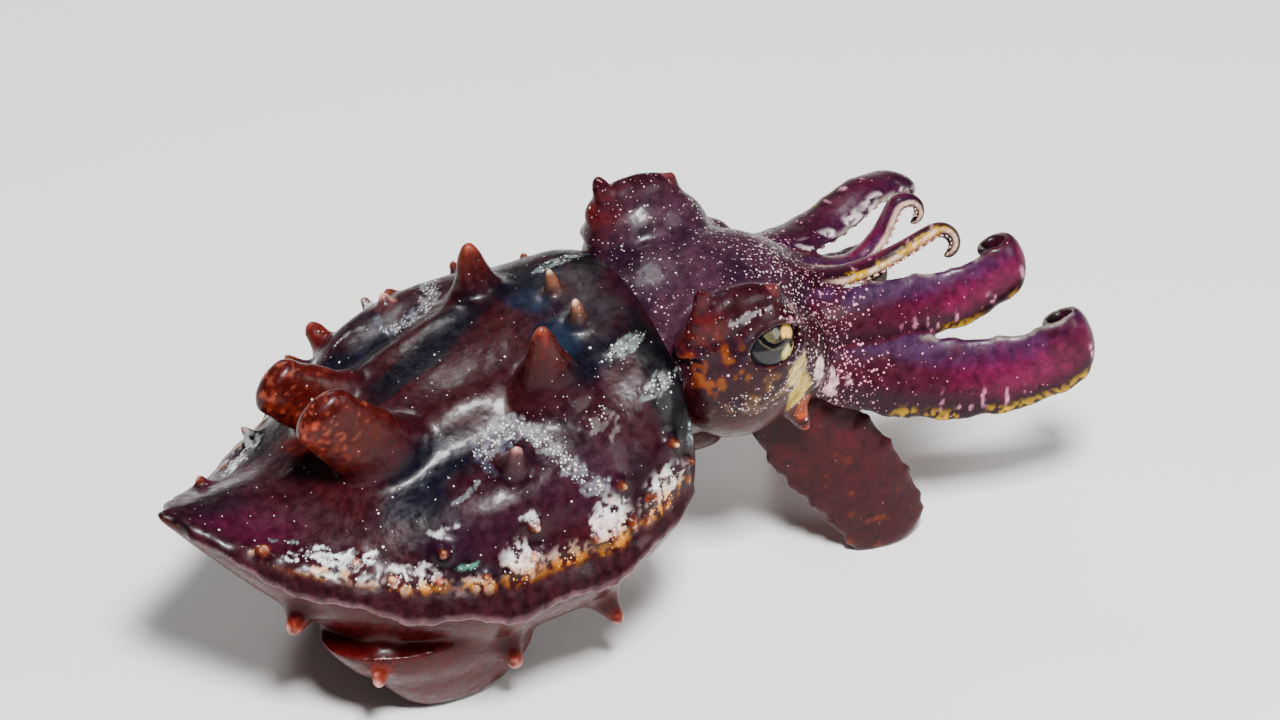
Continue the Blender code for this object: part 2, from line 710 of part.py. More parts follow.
def route_heading(route, reach, s):
    """The direction of a smooth curve through the route at a distance along it."""
    slopes = []
    for k in range(len(route)):
        low, high = max(k - 1, 0), min(k + 1, len(route) - 1)
        slopes.append((route[high] - route[low]) / (reach[high] - reach[low]))
    k = int(np.clip(np.searchsorted(reach, s) - 1, 0, len(reach) - 2))
    t = (s - reach[k]) / (reach[k + 1] - reach[k])
    chord = (route[k + 1] - route[k]) / (reach[k + 1] - reach[k])
    start, end = slopes[k] * (1 - 4 * t + 3 * t**2), slopes[k + 1] * (3 * t**2 - 2 * t)
    return unit(6 * chord * (t - t**2) + start + end)


def arm_line(arm, steps=120):
    """Stops along an arm from its root to its coiled tip, and the whole length."""
    route = np.asarray(arm.route, float)
    reach = np.concatenate([[0], np.cumsum(np.linalg.norm(np.diff(route, axis=0), axis=1))])
    coil_length = math.radians(arm.coil) * arm.coil_radius * 0.75
    total = reach[-1] + coil_length
    coil_from = reach[-1] / total
    knots = (0.0, coil_from * ARM_BROAD_AT, coil_from, (1 + coil_from) / 2, 1.0)
    place, heading = route[0].copy(), route_heading(route, reach, 0.0)
    outer = np.asarray(arm.facing, float)
    step = total / steps
    stops = []
    for i in range(steps + 1):
        done = i * step
        if done <= reach[-1]:
            heading = route_heading(route, reach, done)
        else:
            tightening = 1 + 0.6 * (done - reach[-1]) / coil_length
            axis = unit(np.cross(heading, outer))
            heading = turned(heading, axis, -step * tightening / arm.coil_radius)
        outer = unit(outer - heading * (outer @ heading))
        outer = turned(outer, heading, math.radians(arm.twist) / steps)
        share = float(smooth(knots, arm.widths, done / total))
        stops.append(Stop(i / steps, place.copy(), heading.copy(), outer.copy(), share))
        across = np.cross(heading, outer)
        place = place + heading * step + across * (arm.drift * step if done > reach[-1] else 0.0)
    return stops, total


def stop_at(stops, s):
    """The stop at a share of the arm's length, between the two nearest ones."""
    k = min(int(s * (len(stops) - 1)), len(stops) - 2)
    t = s * (len(stops) - 1) - k
    mixed = [a * (1 - t) + b * t for a, b in zip(stops[k], stops[k + 1])]
    heading = unit(mixed[2])
    outer = unit(mixed[3] - heading * (mixed[3] @ heading))
    return Stop(s, mixed[1], heading, outer, mixed[4])


def arm_depth(arm, stop):
    """How far the outer face stands from the middle of the arm."""
    root = 1 + ARM_ROOT_DEEP * max(0.0, 1 - stop.s / 0.45) ** 1.5
    return arm.thick / 2 * (0.45 + 0.55 * stop.share) * root


def arm_ring(arm, stop, margin=0.0):
    """One ring of points round an arm: rounded outside, flatter on the sucker face."""
    across = np.cross(stop.heading, stop.outer)
    wide = arm.half_width * stop.share + margin
    turn = np.linspace(0, 2 * math.pi, ARM_AROUND, endpoint=False)
    lift = np.sin(turn)
    deep = arm_depth(arm, stop)
    rise = lift * np.where(lift > 0, deep + margin, deep * ORAL_SHARE + margin)
    return stop.place + np.outer(np.cos(turn) * wide, across) + np.outer(rise, stop.outer)


def sucker(arm, stop, row, size):
    """A short stalked cup on the sucker face, with a hollow top and its root sunk in the arm."""
    across = np.cross(stop.heading, stop.outer)
    wide = arm.half_width * stop.share
    deep = arm_depth(arm, stop) * ORAL_SHARE
    foot = stop.place + across * wide * row - stop.outer * deep * math.sqrt(1 - row**2)
    turn = np.linspace(0, 2 * math.pi, SUCKER_SIDES, endpoint=False)
    spokes = np.outer(np.cos(turn), stop.heading) + np.outer(np.sin(turn), across)
    rings = []
    for rise, radius in ((-0.55, 0.75), (0.45, 0.8), (1.0, 1.0), (0.6, 0.45)):
        reach = SUCKER_RADIUS * size * radius
        rings.append(foot - stop.outer * SUCKER_RISE * size * rise + spokes * reach)
    return loft("sucker", rings, "arm_skin")


def arm_piece(name, arm, start, end, rings, margin=0.0):
    """A length of an arm between two shares of it, with no suckers yet."""
    stops = arm_line(arm)[0]
    shares = np.linspace(start, end, rings)
    return loft(name, [arm_ring(arm, stop_at(stops, s), margin) for s in shares], "arm_skin")


def suckers(arm, start, end):
    """The suckers of a length of an arm, clear of its ends."""
    stops, total = arm_line(arm)
    cups = []
    s = SUCKERS_FROM
    while s < 0.97:
        stop = stop_at(stops, s)
        size = 0.45 + 0.55 * stop.share
        clear = SUCKER_RADIUS * size * 1.3 / total
        if start + clear < s < end - clear:
            cups += [sucker(arm, stop, row, size) for row in SUCKER_ROWS]
        s += SUCKER_STEP * size / total
    return cups


def below_floor():
    """The block under the floor that flattens whatever stands on it."""
    x, y, z = FLOOR_CUT
    corners = [(i * x - x / 2 + 60, j * y - y / 2, -k * z) for k in (0, 1) for j in (0, 1) for i in (0, 1)]
    faces = [(0, 1, 3, 2), (4, 5, 7, 6), (0, 1, 5, 4), (1, 3, 7, 5), (3, 2, 6, 7), (2, 0, 4, 6)]
    return mesh_object("below_floor", corners, faces, "mantle_skin")


def arm_cutters(chosen):
    """The near lengths of some arms in one piece each and a little larger."""
    rings = ARM_RINGS["base"]
    return [arm_piece("neighbour", arm, 0.0, ARM_SPLIT, rings, margin=GAP) for arm in chosen]


def arms():
    """Every arm, as a base and a tip, cut clear of the head and of the arms made before it."""
    before = []
    for name, arm in ARMS.items():
        half_gap = GAP / 2 / arm_line(arm)[1]
        spans = {"base": (0.0, ARM_SPLIT - half_gap), "tip": (ARM_SPLIT + half_gap, 1.0)}
        for part, (start, end) in spans.items():
            made = arm_piece(f"{name}_{part}", arm, start, end, ARM_RINGS[part])
            if part == "base":
                cut(made, [head_solid(GAP), *arm_cutters(before)])
            fused(made, suckers(arm, start, end))
            if arm.widths is PADDLE and part == "tip":
                cut(made, [below_floor()])
            finished(made)
        before.append(arm)


def stand_at_origin():
    """Moves the animal so that the origin is under the middle of its box, on the floor."""
    corners = np.array(
        [tuple(v.co) for node in bpy.context.scene.objects for v in node.data.vertices]
    )
    low, high = corners.min(axis=0), corners.max(axis=0)
    shift = np.array(((low[0] + high[0]) / 2, (low[1] + high[1]) / 2, low[2]))
    for node in bpy.context.scene.objects:
        points = np.array([tuple(v.co) for v in node.data.vertices]) - shift
        node.data.vertices.foreach_set("co", points.ravel())
        node.data.update()


def main():
    for old in list(bpy.data.objects):
        bpy.data.objects.remove(old)
    mantle()
    head()
    funnel()
    mouth()
    beak()
    for side in ("left", "right"):
        fin(side)
        walking_flap(side)
        finished(eyeball(f"eye_{side}", side))
    arms()
    stand_at_origin()


main()
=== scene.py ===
"""A dressed flamboyant cuttlefish: one living skin over its solids, with eyes, suckers and beak.

Sizes are in millimetres and counted as in the solids' source: X from the tail tip, +Y to the
animal's left and Z up from the floor. They become the frame's metres where a mesh is made.
"""

import math
from typing import NamedTuple

import bmesh
import bpy
import numpy as np
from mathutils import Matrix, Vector, kdtree


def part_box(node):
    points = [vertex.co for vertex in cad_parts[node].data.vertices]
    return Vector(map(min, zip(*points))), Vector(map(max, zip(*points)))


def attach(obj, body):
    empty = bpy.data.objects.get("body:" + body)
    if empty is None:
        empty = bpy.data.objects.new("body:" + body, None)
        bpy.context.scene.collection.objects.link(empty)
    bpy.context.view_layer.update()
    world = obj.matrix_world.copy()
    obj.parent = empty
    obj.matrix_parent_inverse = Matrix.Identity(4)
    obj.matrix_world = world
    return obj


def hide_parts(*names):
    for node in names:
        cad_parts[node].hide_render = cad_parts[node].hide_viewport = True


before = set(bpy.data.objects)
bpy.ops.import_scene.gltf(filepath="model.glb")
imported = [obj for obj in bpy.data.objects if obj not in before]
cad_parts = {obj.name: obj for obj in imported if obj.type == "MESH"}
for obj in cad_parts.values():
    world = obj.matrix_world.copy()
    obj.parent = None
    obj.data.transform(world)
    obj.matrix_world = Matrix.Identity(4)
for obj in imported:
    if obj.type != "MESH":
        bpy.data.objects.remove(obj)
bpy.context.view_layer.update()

MM = 0.001
X, Y, Z = np.eye(3)
SIDES = ("left", "right")
VOXEL = 0.3
FILLET_ROUNDS, HOLLOW_PULL, RIDGE_PULL = 50, 0.6, 0.1
FOLD_HEIGHT, FOLD_SIZE = 0.24, 4.4
LUMP_HEIGHT, LUMP_SIZE = 0.06, 1.3
BALL_AROUND, BALL_ROWS = 48, 32
BELOW_FLOOR = ((-40, -100, 0), (160, -100, 0), (160, 100, 0), (-40, 100, 0))

# Mantle. The rows of numbers follow its places along X.
MANTLE_LENGTH = 60.0
MANTLE_X = (0.0, 6.0, 15.0, 24.0, 34.0, 46.0, 56.0, MANTLE_LENGTH)
MANTLE_HALF_WIDTH = (0.5, 6.3, 12.8, 17.3, 20.4, 20.8, 18.2, 16.0)
MANTLE_SIDE_Z = (30.2, 28.0, 25.8, 24.6, 24.0, 24.0, 24.4, 25.0)
MANTLE_TOP_Z = (30.5, 29.8, 29.6, 33.2, 37.2, 39.4, 40.3, 40.3)
MANTLE_BELLY_Z = (29.5, 22.5, 12.8, 6.6, 4.6, 5.6, 9.4, 12.0)
MANTLE_RIDGE = (1.7, 1.7, 1.5, 1.25, 1.0, 0.95, 0.9, 0.9)
MANTLE_STATIONS, MANTLE_AROUND = 90, 140
SIDE_POWER, BELLY_POWER = 0.92, 0.95
MANTLE_ROLL, ROLL_END, ROLL_FADE = 0.1, 76.0, 30.0
REAR_FROM, REAR_TO = 8.0, 30.0
REAR_DROP, REAR_SLIM = 0.4, 0.15
# Swellings: middle along X, degrees above the side, reach along X, reach in degrees, height.
MANTLE_RELIEF = (
    (33.0, 58.0, 8.0, 13.0, -1.7),
    (13.0, 52.0, 6.0, 20.0, -1.0),
    (38.0, 36.0, 7.0, 12.0, 0.9),
    (50.5, 62.0, 3.0, 26.0, -0.8),
    (57.5, 50.0, 3.0, 60.0, 0.5),
    (30.0, 6.0, 26.0, 6.0, 0.8),
    (37.5, 76.0, 8.0, 9.0, 0.9),
)
COLLAR_X = (54.0, 57.0, MANTLE_LENGTH, MANTLE_LENGTH + 1.5)
COLLAR_WALL = (5.4, 2.4, 1.3, 1.0)

# Fins.
FIN_FROM, FIN_TO = 2.0, 59.0
FIN_WIDTH, FIN_SUNK = 4.6, 2.0
FIN_ROOT_THICK, FIN_EDGE_THICK = 1.7, 0.62
FIN_WAVES, FIN_WAVE = 5.0, 0.55
FIN_RIPPLES, FIN_RIPPLE = 23.0, 0.16
FIN_DROOP = {"right": 52.0, "left": 46.0}
FIN_STATIONS, FIN_ACROSS = 200, 12

# Walking flap: height over the floor, middle along X and across, half length and half width.
FLAP_STATIONS, FLAP_AROUND = 40, 60
FLAP_ROWS = (
    (0.0, 31.0, 11.2, 4.6, 1.9),
    (0.8, 31.2, 11.3, 6.2, 2.6),
    (3.0, 31.4, 11.3, 8.4, 3.6),
    (6.0, 30.8, 10.8, 10.6, 5.0),
    (9.0, 29.6, 10.2, 12.4, 6.6),
    (12.0, 28.6, 9.6, 13.4, 7.6),
)

# Head.
NECK_X = COLLAR_X[0] - 1.5
HEAD_X = (NECK_X, 60.3, 65.0, 71.0, 76.0, 80.0, 83.2)
HEAD_HALF_WIDTH = (9.4, 11.8, 12.2, 11.4, 10.2, 8.4, 6.2)
HEAD_CENTRE_Z = (27.2, 29.4, 30.4, 31.0, 30.8, 30.2, 29.4)
HEAD_HALF_HEIGHT = (6.2, 9.0, 9.8, 9.6, 8.8, 7.4, 5.4)
HEAD_STATIONS, HEAD_AROUND = 50, 80
BULGE_CENTRE, BULGE_RADII = (68.6, 10.8, 33.2), (8.4, 6.0, 9.9)
BROW_CENTRE, BROW_RADII = (67.2, 11.9, 41.2), (6.2, 2.5, 3.6)
CHEEK_CENTRE, CHEEK_RADII = (76.0, 10.0, 30.4), (4.4, 4.2, 6.0)
HEAD_SWELLINGS = (
    (BULGE_CENTRE, BULGE_RADII), (BROW_CENTRE, BROW_RADII), (CHEEK_CENTRE, CHEEK_RADII),
)
EYE_CENTRE = (70.2, 11.9, 36.6)
EYE_OUTWARD = (0.12, 0.93, 0.33)
EYE_RADIUS, EYE_ROWS, EYE_AROUND = 4.3, 110, 160
LID_HALF_LENGTH, LID_HALF_HEIGHT = 3.9, 2.5
LID_THICK, LID_HOOD, LID_OUT = 0.7, 0.6, 3.3
LID_AROUND, LID_TUBE = 80, 24
# Stations of the cutter between the lids: how far out, and how far inside the lids' oval.
LID_OPENING = ((0.5, 0.45), (LID_OUT, 0.35), (LID_OUT + 4, -0.4))
FUNNEL_FROM, FUNNEL_TO = (NECK_X, 0.0, 18.4), (71.5, 0.0, 15.6)
FUNNEL_RADII, FUNNEL_BORE, FUNNEL_DEPTH = (4.0, 2.7), 1.6, 5.0
FUNNEL_STATIONS, FUNNEL_AROUND = 24, 48
MOUTH_CENTRE = (HEAD_X[-1], 0.0, 28.4)
MOUTH_RADIUS, MOUTH_LENGTH, MOUTH_AROUND = 2.8, 2.6, 90
# The lips' section: shares of the mouth's length ahead and of its radius.
MOUTH_PROFILE = (
    (-0.6, 1.0), (0.0, 1.0), (0.3, 1.02), (0.55, 0.98), (0.8, 0.86), (0.93, 0.76), (1.0, 0.64),
    (0.93, 0.54), (0.8, 0.5), (0.3, 0.44),
)
BEAK_RADIUS, BEAK_LENGTH = 1.1, 1.7

# Arms. The three outlines are widths from the root to the tip, beside the widest.
BLADE = (0.68, 1.0, 0.84, 0.5, 0.22)
CURL = (0.68, 1.0, 0.88, 0.36, 0.14)
PADDLE = (0.62, 0.98, 0.78, 0.6, 0.25)
ARM_BROAD_AT, ARM_ROOT_DEEP = 0.42, 1.1
ARM_STEPS, ARM_AROUND = 120, 36
ARM_SHARES = np.linspace(0, 1, 150)
ARM_EDGE, ORAL_SHARE, DOME_POWER = 0.3, 0.62, 2.4
ARMS_FROM = 72
SUCKER_ROWS = (-0.62, -0.21, 0.21, 0.62)
SUCKERS_FROM, SUCKERS_TO, SUCKERS_TO_CURL = 0.1, 0.97, 0.8
SUCKER_STEP, SUCKER_CLEAR, SUCKER_FULL_AT = 0.9375, 0.05, 4.4
SUCKER_RADIUS, SUCKER_RISE, SUCKER_AROUND = 0.5, 0.5, 14
SUCKER_PROFILE = (
    (-0.7, 0.45), (0.1, 0.45), (0.35, 0.8), (0.7, 0.98), (0.95, 1.0), (1.05, 0.9), (1.0, 0.72),
    (0.6, 0.5), (0.45, 0.2),
)


class Arm(NamedTuple):
    """One arm. It follows the route, then coils towards its suckers. Facing is its outer face."""

    route: tuple
    facing: tuple
    half_width: float
    thick: float
    twist: float
    coil: float
    coil_radius: float
    widths: tuple = BLADE
    drift: float = 0.0


ARMS = {
    "arm_1_right": Arm(
        ((76.5, -2.9, 36.6), (85, -2.8, 33.4), (92, -2.5, 33.0), (98.8, -3.4, 35.6)),
        (0.1, 0.1, 1.0), 2.7, 2.3, -45, 225, 1.9,
    ),
    "arm_1_left": Arm(
        ((76.5, 2.9, 36.2), (85, 2.6, 31.8), (91.5, 2.8, 29.6), (95.4, 3.4, 31.4),
         (97.6, 3.8, 34.7)),
        (0.0, 0.1, 1.0), 2.5, 2.2, -35, 260, 1.9,
    ),
    "arm_2_right": Arm(
        ((76.5, -6.6, 33.6), (84, -7.8, 31.2), (91, -9.0, 30.9), (98, -10.3, 31.0),
         (103.6, -11.5, 33.6)),
        (0.0, -0.75, 0.66), 4.0, 2.3, 40, 350, 2.3, CURL, -0.25,
    ),
    "arm_2_left": Arm(
        ((76.5, 6.6, 33.5), (84, 7.6, 31.6), (91, 9.2, 31.0), (97.6, 10.7, 32.4),
         (102.0, 11.7, 31.8)),
        (0.0, 0.25, 0.97), 4.2, 2.4, 0, 170, 2.4,
    ),
    "arm_3_right": Arm(
        ((76.0, -8.0, 28.6), (86.7, -11.5, 25.0), (95, -14.6, 23.0), (103, -17.6, 23.4),
         (107.9, -19.3, 25.6)),
        (0.0, -0.8, 0.6), 5.1, 2.5, 40, 350, 2.5, CURL, -0.25,
    ),
    "arm_3_left": Arm(
        ((76.0, 8.0, 28.6), (85, 11.4, 24.4), (93, 14.2, 19.4), (100, 16.6, 17.0)),
        (0.1, 0.74, 0.67), 4.7, 2.7, -30, 225, 2.4,
    ),
    "arm_4_right": Arm(
        ((74.5, -5.4, 25.0), (79.0, -9.0, 17.6), (84.0, -11.4, 10.2), (88.4, -12.7, 1.6)),
        (-0.18, -0.96, 0.22), 6.4, 2.6, 0, 20, 9.0, PADDLE,
    ),
    "arm_4_left": Arm(
        ((74.5, 5.4, 25.0), (80, 8.4, 17.8), (86.0, 10.6, 10.0), (91.0, 12.0, 1.6)),
        (-0.18, 0.96, 0.22), 6.4, 2.6, 0, 20, 9.0, PADDLE,
    ),
}


class Papilla(NamedTuple):
    """One skin horn. The radii are (along X, across) at its flared root and at its blunt tip."""

    root: tuple
    tip: tuple
    root_radii: tuple
    tip_radii: tuple


LOBES = (
    Papilla((27.8, -5.0, 29.8), (16.6, -5.9, 42.9), (6.0, 4.2), (3.9, 1.9)),
    Papilla((27.8, 5.0, 29.8), (16.6, 5.8, 38.8), (6.0, 4.2), (3.5, 1.9)),
)
LEFT_HORNS = (
    Papilla((31.8, 15.6, 26.8), (29.7, 21.4, 31.6), (3.4, 3.0), (1.3, 1.1)),
    Papilla((40.6, 15.4, 29.4), (38.9, 19.6, 34.2), (3.4, 3.0), (1.3, 1.1)),
)
BACK_HORNS = (
    Papilla((45.5, 8.0, 34.5), (44.0, 8.8, 46.2), (7.0, 5.4), (1.5, 1.1)),
    Papilla((52.5, 3.0, 37.5), (51.4, 3.1, 43.6), (2.8, 2.2), (0.7, 0.6)),
    Papilla((37.5, 14.0, 30.0), (36.8, 16.2, 36.9), (3.8, 3.2), (0.95, 0.85)),
)
SIDE_HORN_X = (9.0, 18.0, 27.0, 37.0, 48.0, 56.0)
SIDE_HORN_ANGLE = 24.0
SIDE_HORN_LENGTHS = (1.6, 2.4, 3.2, 2.4, 2.6, 2.0)
BELLY_HORN_X = (13.0, 21.6, 35.6, 48.0)
BELLY_HORN_ANGLE = -42.0
BELLY_HORN_LENGTHS = (3.2, 5.6, 4.0, 4.0)
SMALL_HORN_RADII, BELLY_HORN_RADII = (1.9, 0.6), (3.1, 1.0)
HORN_FLARE = 2.1
HEAD_HORNS = (
    Papilla((64.6, 11.4, 39.0), (62.5, 12.0, 46.8), (4.6, 3.4), (0.95, 0.7)),
    Papilla((71.4, 11.4, 38.5), (72.4, 12.1, 43.8), (3.4, 2.8), (0.9, 0.8)),
    Papilla((74.6, 11.2, 26.0), (76.4, 13.4, 21.8), (3.0, 2.6), (0.9, 0.8)),
)

# Knobs of skin: middle along X, lowest and highest angle, spread along X, how many, size.
KNOB_SEED = 11
KNOB_CLUSTERS = (
    (8.0, 2, 9, 1.6, 3, 0.6),
    (15.0, 3, 13, 2.6, 6, 0.75),
    (22.5, 2, 12, 2.4, 6, 0.75),
    (29.0, 1, 8, 2.0, 3, 0.6),
    (35.0, 2, 12, 2.2, 6, 0.8),
    (46.5, 4, 14, 2.4, 6, 0.85),
    (54.0, 2, 12, 2.6, 6, 0.75),
    (40.0, -14, -5, 12.0, 4, 0.6),
)

CAMERA_ANGLES = (-29.1, 38.4)
CAMERA_TARGET = (61.6, 0.0, 28.5)
CAMERA_DISTANCE = 817.8
CAMERA_LENS, CAMERA_SENSOR = 200, 36
CAMERA_CLIP = (0.05, 10)
FLOOR_SQUARE = (55, 0, 900)
FLOOR_COLOUR = (0.8, 0.79, 0.77)
# Lamps: name, place, size and power.
LAMPS = (
    ("key", (-20, -260, 520), 110, 8.4),
    ("fill", (380, -300, 260), 200, 1.0),
    ("rim", (60, 420, 420), 160, 1.2),
)
LAMP_AIM = (55, 0, 20)
SKY_STRENGTH = 0.12

# Constant settings of the shaders.
SKIN_SHADER = (
    ("Subsurface Weight", 0.12), ("Subsurface Scale", 0.0012),
    ("Subsurface Radius", (1, 0.3, 0.25)), ("Coat Weight", 0.06), ("Coat Roughness", 0.08),
    ("IOR", 1.24),
)
SUCKER_SHADER = (("Subsurface Weight", 0.15), ("Subsurface Scale", 0.0008), ("Coat Weight", 0.3))
EYE_SHADER = (("Coat Weight", 0.25), ("Coat Roughness", 0.03), ("IOR", 1.3))
PORE_TINT = (0.42, 0.3, 0.36, 1)
TINT_POWER = 1.18
WHITE_FLECK, PINK_FLECK, GOLD_FLECK = (214, 216, 210), (232, 156, 178), (236, 170, 60)

LABELS = ("mantle", "head", "arm", "fin")
ARC = 0.33  # millimetres of skin round the mantle for each degree, for the pattern

# Shades of the mantle: middle along X, angle, reach along X, reach around, colour, weight.
MANTLE_SHADES = (
    (30.0, 60.0, 6.5, 3.4, (12, 10, 34), 0.95),
    (26.0, 50.0, 4.5, 3.0, (16, 12, 36), 0.85),
    (51.5, 69.0, 5.0, 3.2, (18, 20, 36), 0.9),
    (57.5, 58.0, 2.6, 8.0, (12, 14, 22), 0.9),
    (58.5, 33.0, 2.4, 8.0, (12, 12, 20), 0.85),
    (49.5, 82.0, 3.2, 3.0, (22, 44, 62), 0.8),
    (54.5, 84.0, 4.0, 4.0, (52, 48, 52), 0.7),
    (44.0, 30.0, 7.0, 5.0, (62, 26, 48), 0.6),
    (31.0, 30.0, 6.0, 4.0, (56, 22, 46), 0.6),
)

# Torn patches: middle along X, angle, reach along X, reach around, colour, weight, how torn.
MANTLE_PATCHES = (
    (55.0, 66.0, 3.0, 1.0, (120, 132, 126), 0.9, 0.6),
    (57.0, 46.0, 2.3, 1.3, (130, 138, 134), 0.9, 0.8),
    (59.6, 19.0, 1.1, 1.6, (84, 102, 102), 0.8, 0.6),
    (37.6, 58.5, 2.4, 1.3, (104, 112, 126), 0.8, 1.3),
    (15.2, 31.0, 2.5, 2.2, (230, 238, 240), 1.0, 2.4),
    (23.0, 17.0, 1.6, 0.8, (206, 204, 202), 0.8, 2.6),
    (27.5, 34.0, 1.1, 0.7, (186, 194, 192), 0.9, 1.9),
    (37.0, 27.0, 0.9, 0.7, (196, 196, 194), 0.9, 1.9),
    (48.5, 49.0, 1.4, 0.9, (150, 150, 146), 0.35, 2.8),
    (50.0, 41.0, 0.9, 0.7, (150, 150, 146), 0.35, 2.4),
    (35.0, 11.0, 1.1, 1.1, (214, 194, 186), 0.95, 2.4),
    (46.0, 13.0, 1.2, 1.5, (218, 196, 194), 0.95, 2.4),
    (54.5, 11.0, 1.7, 1.0, (208, 196, 188), 0.9, 2.6),
    (12.0, 42.0, 1.1, 0.5, (110, 130, 130), 0.7, 1.5),
    (29.0, 14.0, 1.3, 0.4, (90, 140, 124), 0.8, 1.2),
)

# Streaks: places (X, angle) along a line, width, colour, weight.
MANTLE_STREAKS = (
    (((35.6, 56), (37.5, 61), (40, 58), (41.6, 50), (43, 40), (45.5, 27)), 1.15,
     (116, 115, 120), 1.0),
    (((35, 61), (34.6, 54), (35.0, 47)), 0.5, (70, 74, 90), 0.7),
    (((33.2, 47), (31.4, 44), (29.8, 43)), 0.3, (130, 138, 140), 0.6),
)
LEFT_STRIPE = ((29, 88), (35, 84), (42, 76), (48, 70)), 2.2
TUFT_COLOURS = ((226, 154, 30), (244, 214, 190), (228, 232, 228))

# Bright tufts along the fin line: middle along X, angle, reach along X, reach around, strength.
TUFTS = (
    (8.0, 4.0, 2.4, 2.2, 0.7),
    (15.5, 9.0, 4.6, 3.8, 0.95),
    (23.0, 8.0, 3.8, 3.6, 0.95),
    (29.5, 4.0, 2.6, 2.0, 0.6),
    (35.0, 8.0, 2.8, 4.0, 0.95),
    (40.5, 5.0, 3.4, 2.0, 0.5),
    (46.5, 10.0, 2.8, 4.6, 0.95),
    (54.0, 8.0, 3.8, 3.4, 0.95),
)

# Colours of the horns, at their sides and tips. A small horn whose root is low is on the belly.
BACK_HORN_COLOURS = ((84, 27, 23), (140, 98, 74), (88, 58, 62))
BACK_HORN_TIPS = ((146, 76, 58), (232, 204, 172), (230, 178, 158))
HEAD_HORN_TIPS = ((84, 20, 26), (118, 60, 62), (190, 96, 44))
SIDE_HORN_COLOURS = ((140, 70, 26), (214, 176, 138))
BELLY_HORN_COLOURS, BELLY_BELOW = ((150, 66, 44), (214, 158, 146)), 23

# Mottling of the head: place, reach, colour, weight, thresholds of the noise.
HEAD_MOTTLES = (
    ((61.5, 14.5, 37.5), (4.5, 4, 5), (132, 56, 20), 0.75, 0.44, 0.64),
    ((64.5, 15.5, 36.0), (5, 4, 4.5), (138, 84, 24), 0.75, 0.52, 0.66),
    ((62.5, 12.5, 42.0), (3, 4, 4), (104, 34, 30), 0.7, 0.2, 0.6),
    ((70.5, 16.0, 32.5), (5, 4, 2.6), (112, 84, 34), 0.8, 0.48, 0.62),
)

# Torn patches of the head: place, reach, colour, weight, how torn.
HEAD_PATCHES = (
    ((67.8, 13.8, 42.2), (2.0, 3.2, 0.5), (170, 170, 172), 0.6, 2.0),
    ((68.0, 16.4, 31.0), (4.2, 4, 0.8), (150, 126, 92), 0.3, 2.4),
    ((73.6, 15.2, 33.2), (1.7, 4, 2.0), (220, 206, 126), 1.0, 0.5),
    ((74.0, 14.0, 29.4), (1.9, 4, 3.0), (214, 194, 84), 1.0, 0.6),
    ((78.1, 10.5, 28.6), (1.1, 3, 2.4), (236, 214, 206), 1.0, 0.8),
    ((80.6, 10.5, 26.2), (1.4, 3, 1.2), (232, 200, 198), 0.9, 1.6),
    ((75.6, 13.4, 25.4), (1.3, 3, 2.0), (176, 86, 26), 0.9, 0.7),
    ((77.2, 12.2, 31.0), (1.0, 2, 2.0), (236, 222, 206), 1.0, 0.8),
    ((73.4, 13.6, 40.0), (1.2, 2.4, 0.8), (196, 138, 148), 0.6, 2.0),
)

# The pupil's line in the eye's face, in millimetres forward and up from its middle.
PUPIL = (
    (-1.9, 2.2), (-1.4, 0.9), (-0.6, 0.12), (0.43, 0.08), (1.28, 0.19), (1.8, -0.2), (2.04, -0.84),
)
# Patches of the iris: whether streaked, colour, middle and reach both ways, where none and all.
IRIS_PATCHES = (
    (True, (34, 30, 32), -1.9, -0.9, 1.7, 1.1, 1.0, 0.5),
    (False, (70, 64, 46), -0.6, 1.3, 1.4, 0.9, 1.1, 0.5),
    (False, (226, 176, 84), 1.8, 0.9, 1.1, 1.0, 1.15, 0.7),
    (False, (196, 186, 98), 1.5, -1.4, 1.3, 1.1, 1.15, 0.6),
)


def smooth(knots, values, x):
    """A smooth curve through the values at the knots, with no overshoot between them."""
    knots, values = np.asarray(knots, float), np.asarray(values, float)
    step = np.diff(knots)
    slope = np.diff(values) / step
    bend = np.zeros_like(values)
    before, after = slope[:-1], slope[1:]
    same_way = before * after > 0
    bend[1:-1][same_way] = (2 * before * after)[same_way] / (before + after)[same_way]
    bend[0], bend[-1] = slope[0], slope[-1]
    k = np.clip(np.searchsorted(knots, x) - 1, 0, len(step) - 1)
    t = (x - knots[k]) / step[k]
    rise = bend[k] * (t - 2 * t**2 + t**3) - bend[k + 1] * (t**2 - t**3)
    return values[k] + (values[k + 1] - values[k]) * (3 * t**2 - 2 * t**3) + rise * step[k]


def unit(vector):
    """The vector at length 1."""
    vector = np.asarray(vector, float)
    return vector / np.linalg.norm(vector)


def turned(vector, axis, angle):
    """The vector turned about a unit axis by an angle in radians."""
    along = axis * (axis @ vector)
    return along + (vector - along) * math.cos(angle) + np.cross(axis, vector) * math.sin(angle)


def signed_power(value, power):
    """The value's size raised to a power, with its sign kept."""
    return np.sign(value) * np.abs(value) ** power


def soft(low, high, value):
    """0 at low, 1 at high and a smooth step between. Low may be the larger."""
    t = np.clip((value - low) / (high - low), 0, 1)
    return t * t * (3 - 2 * t)


def mirrored(point, side):
    """A point given for +Y, on the side asked for."""
    x, y, z = point
    return (x, y if side == "left" else -y, z)


def mirrored_papilla(papilla, side):
    """A horn given for +Y, on the side asked for."""
    return papilla._replace(root=mirrored(papilla.root, side), tip=mirrored(papilla.tip, side))


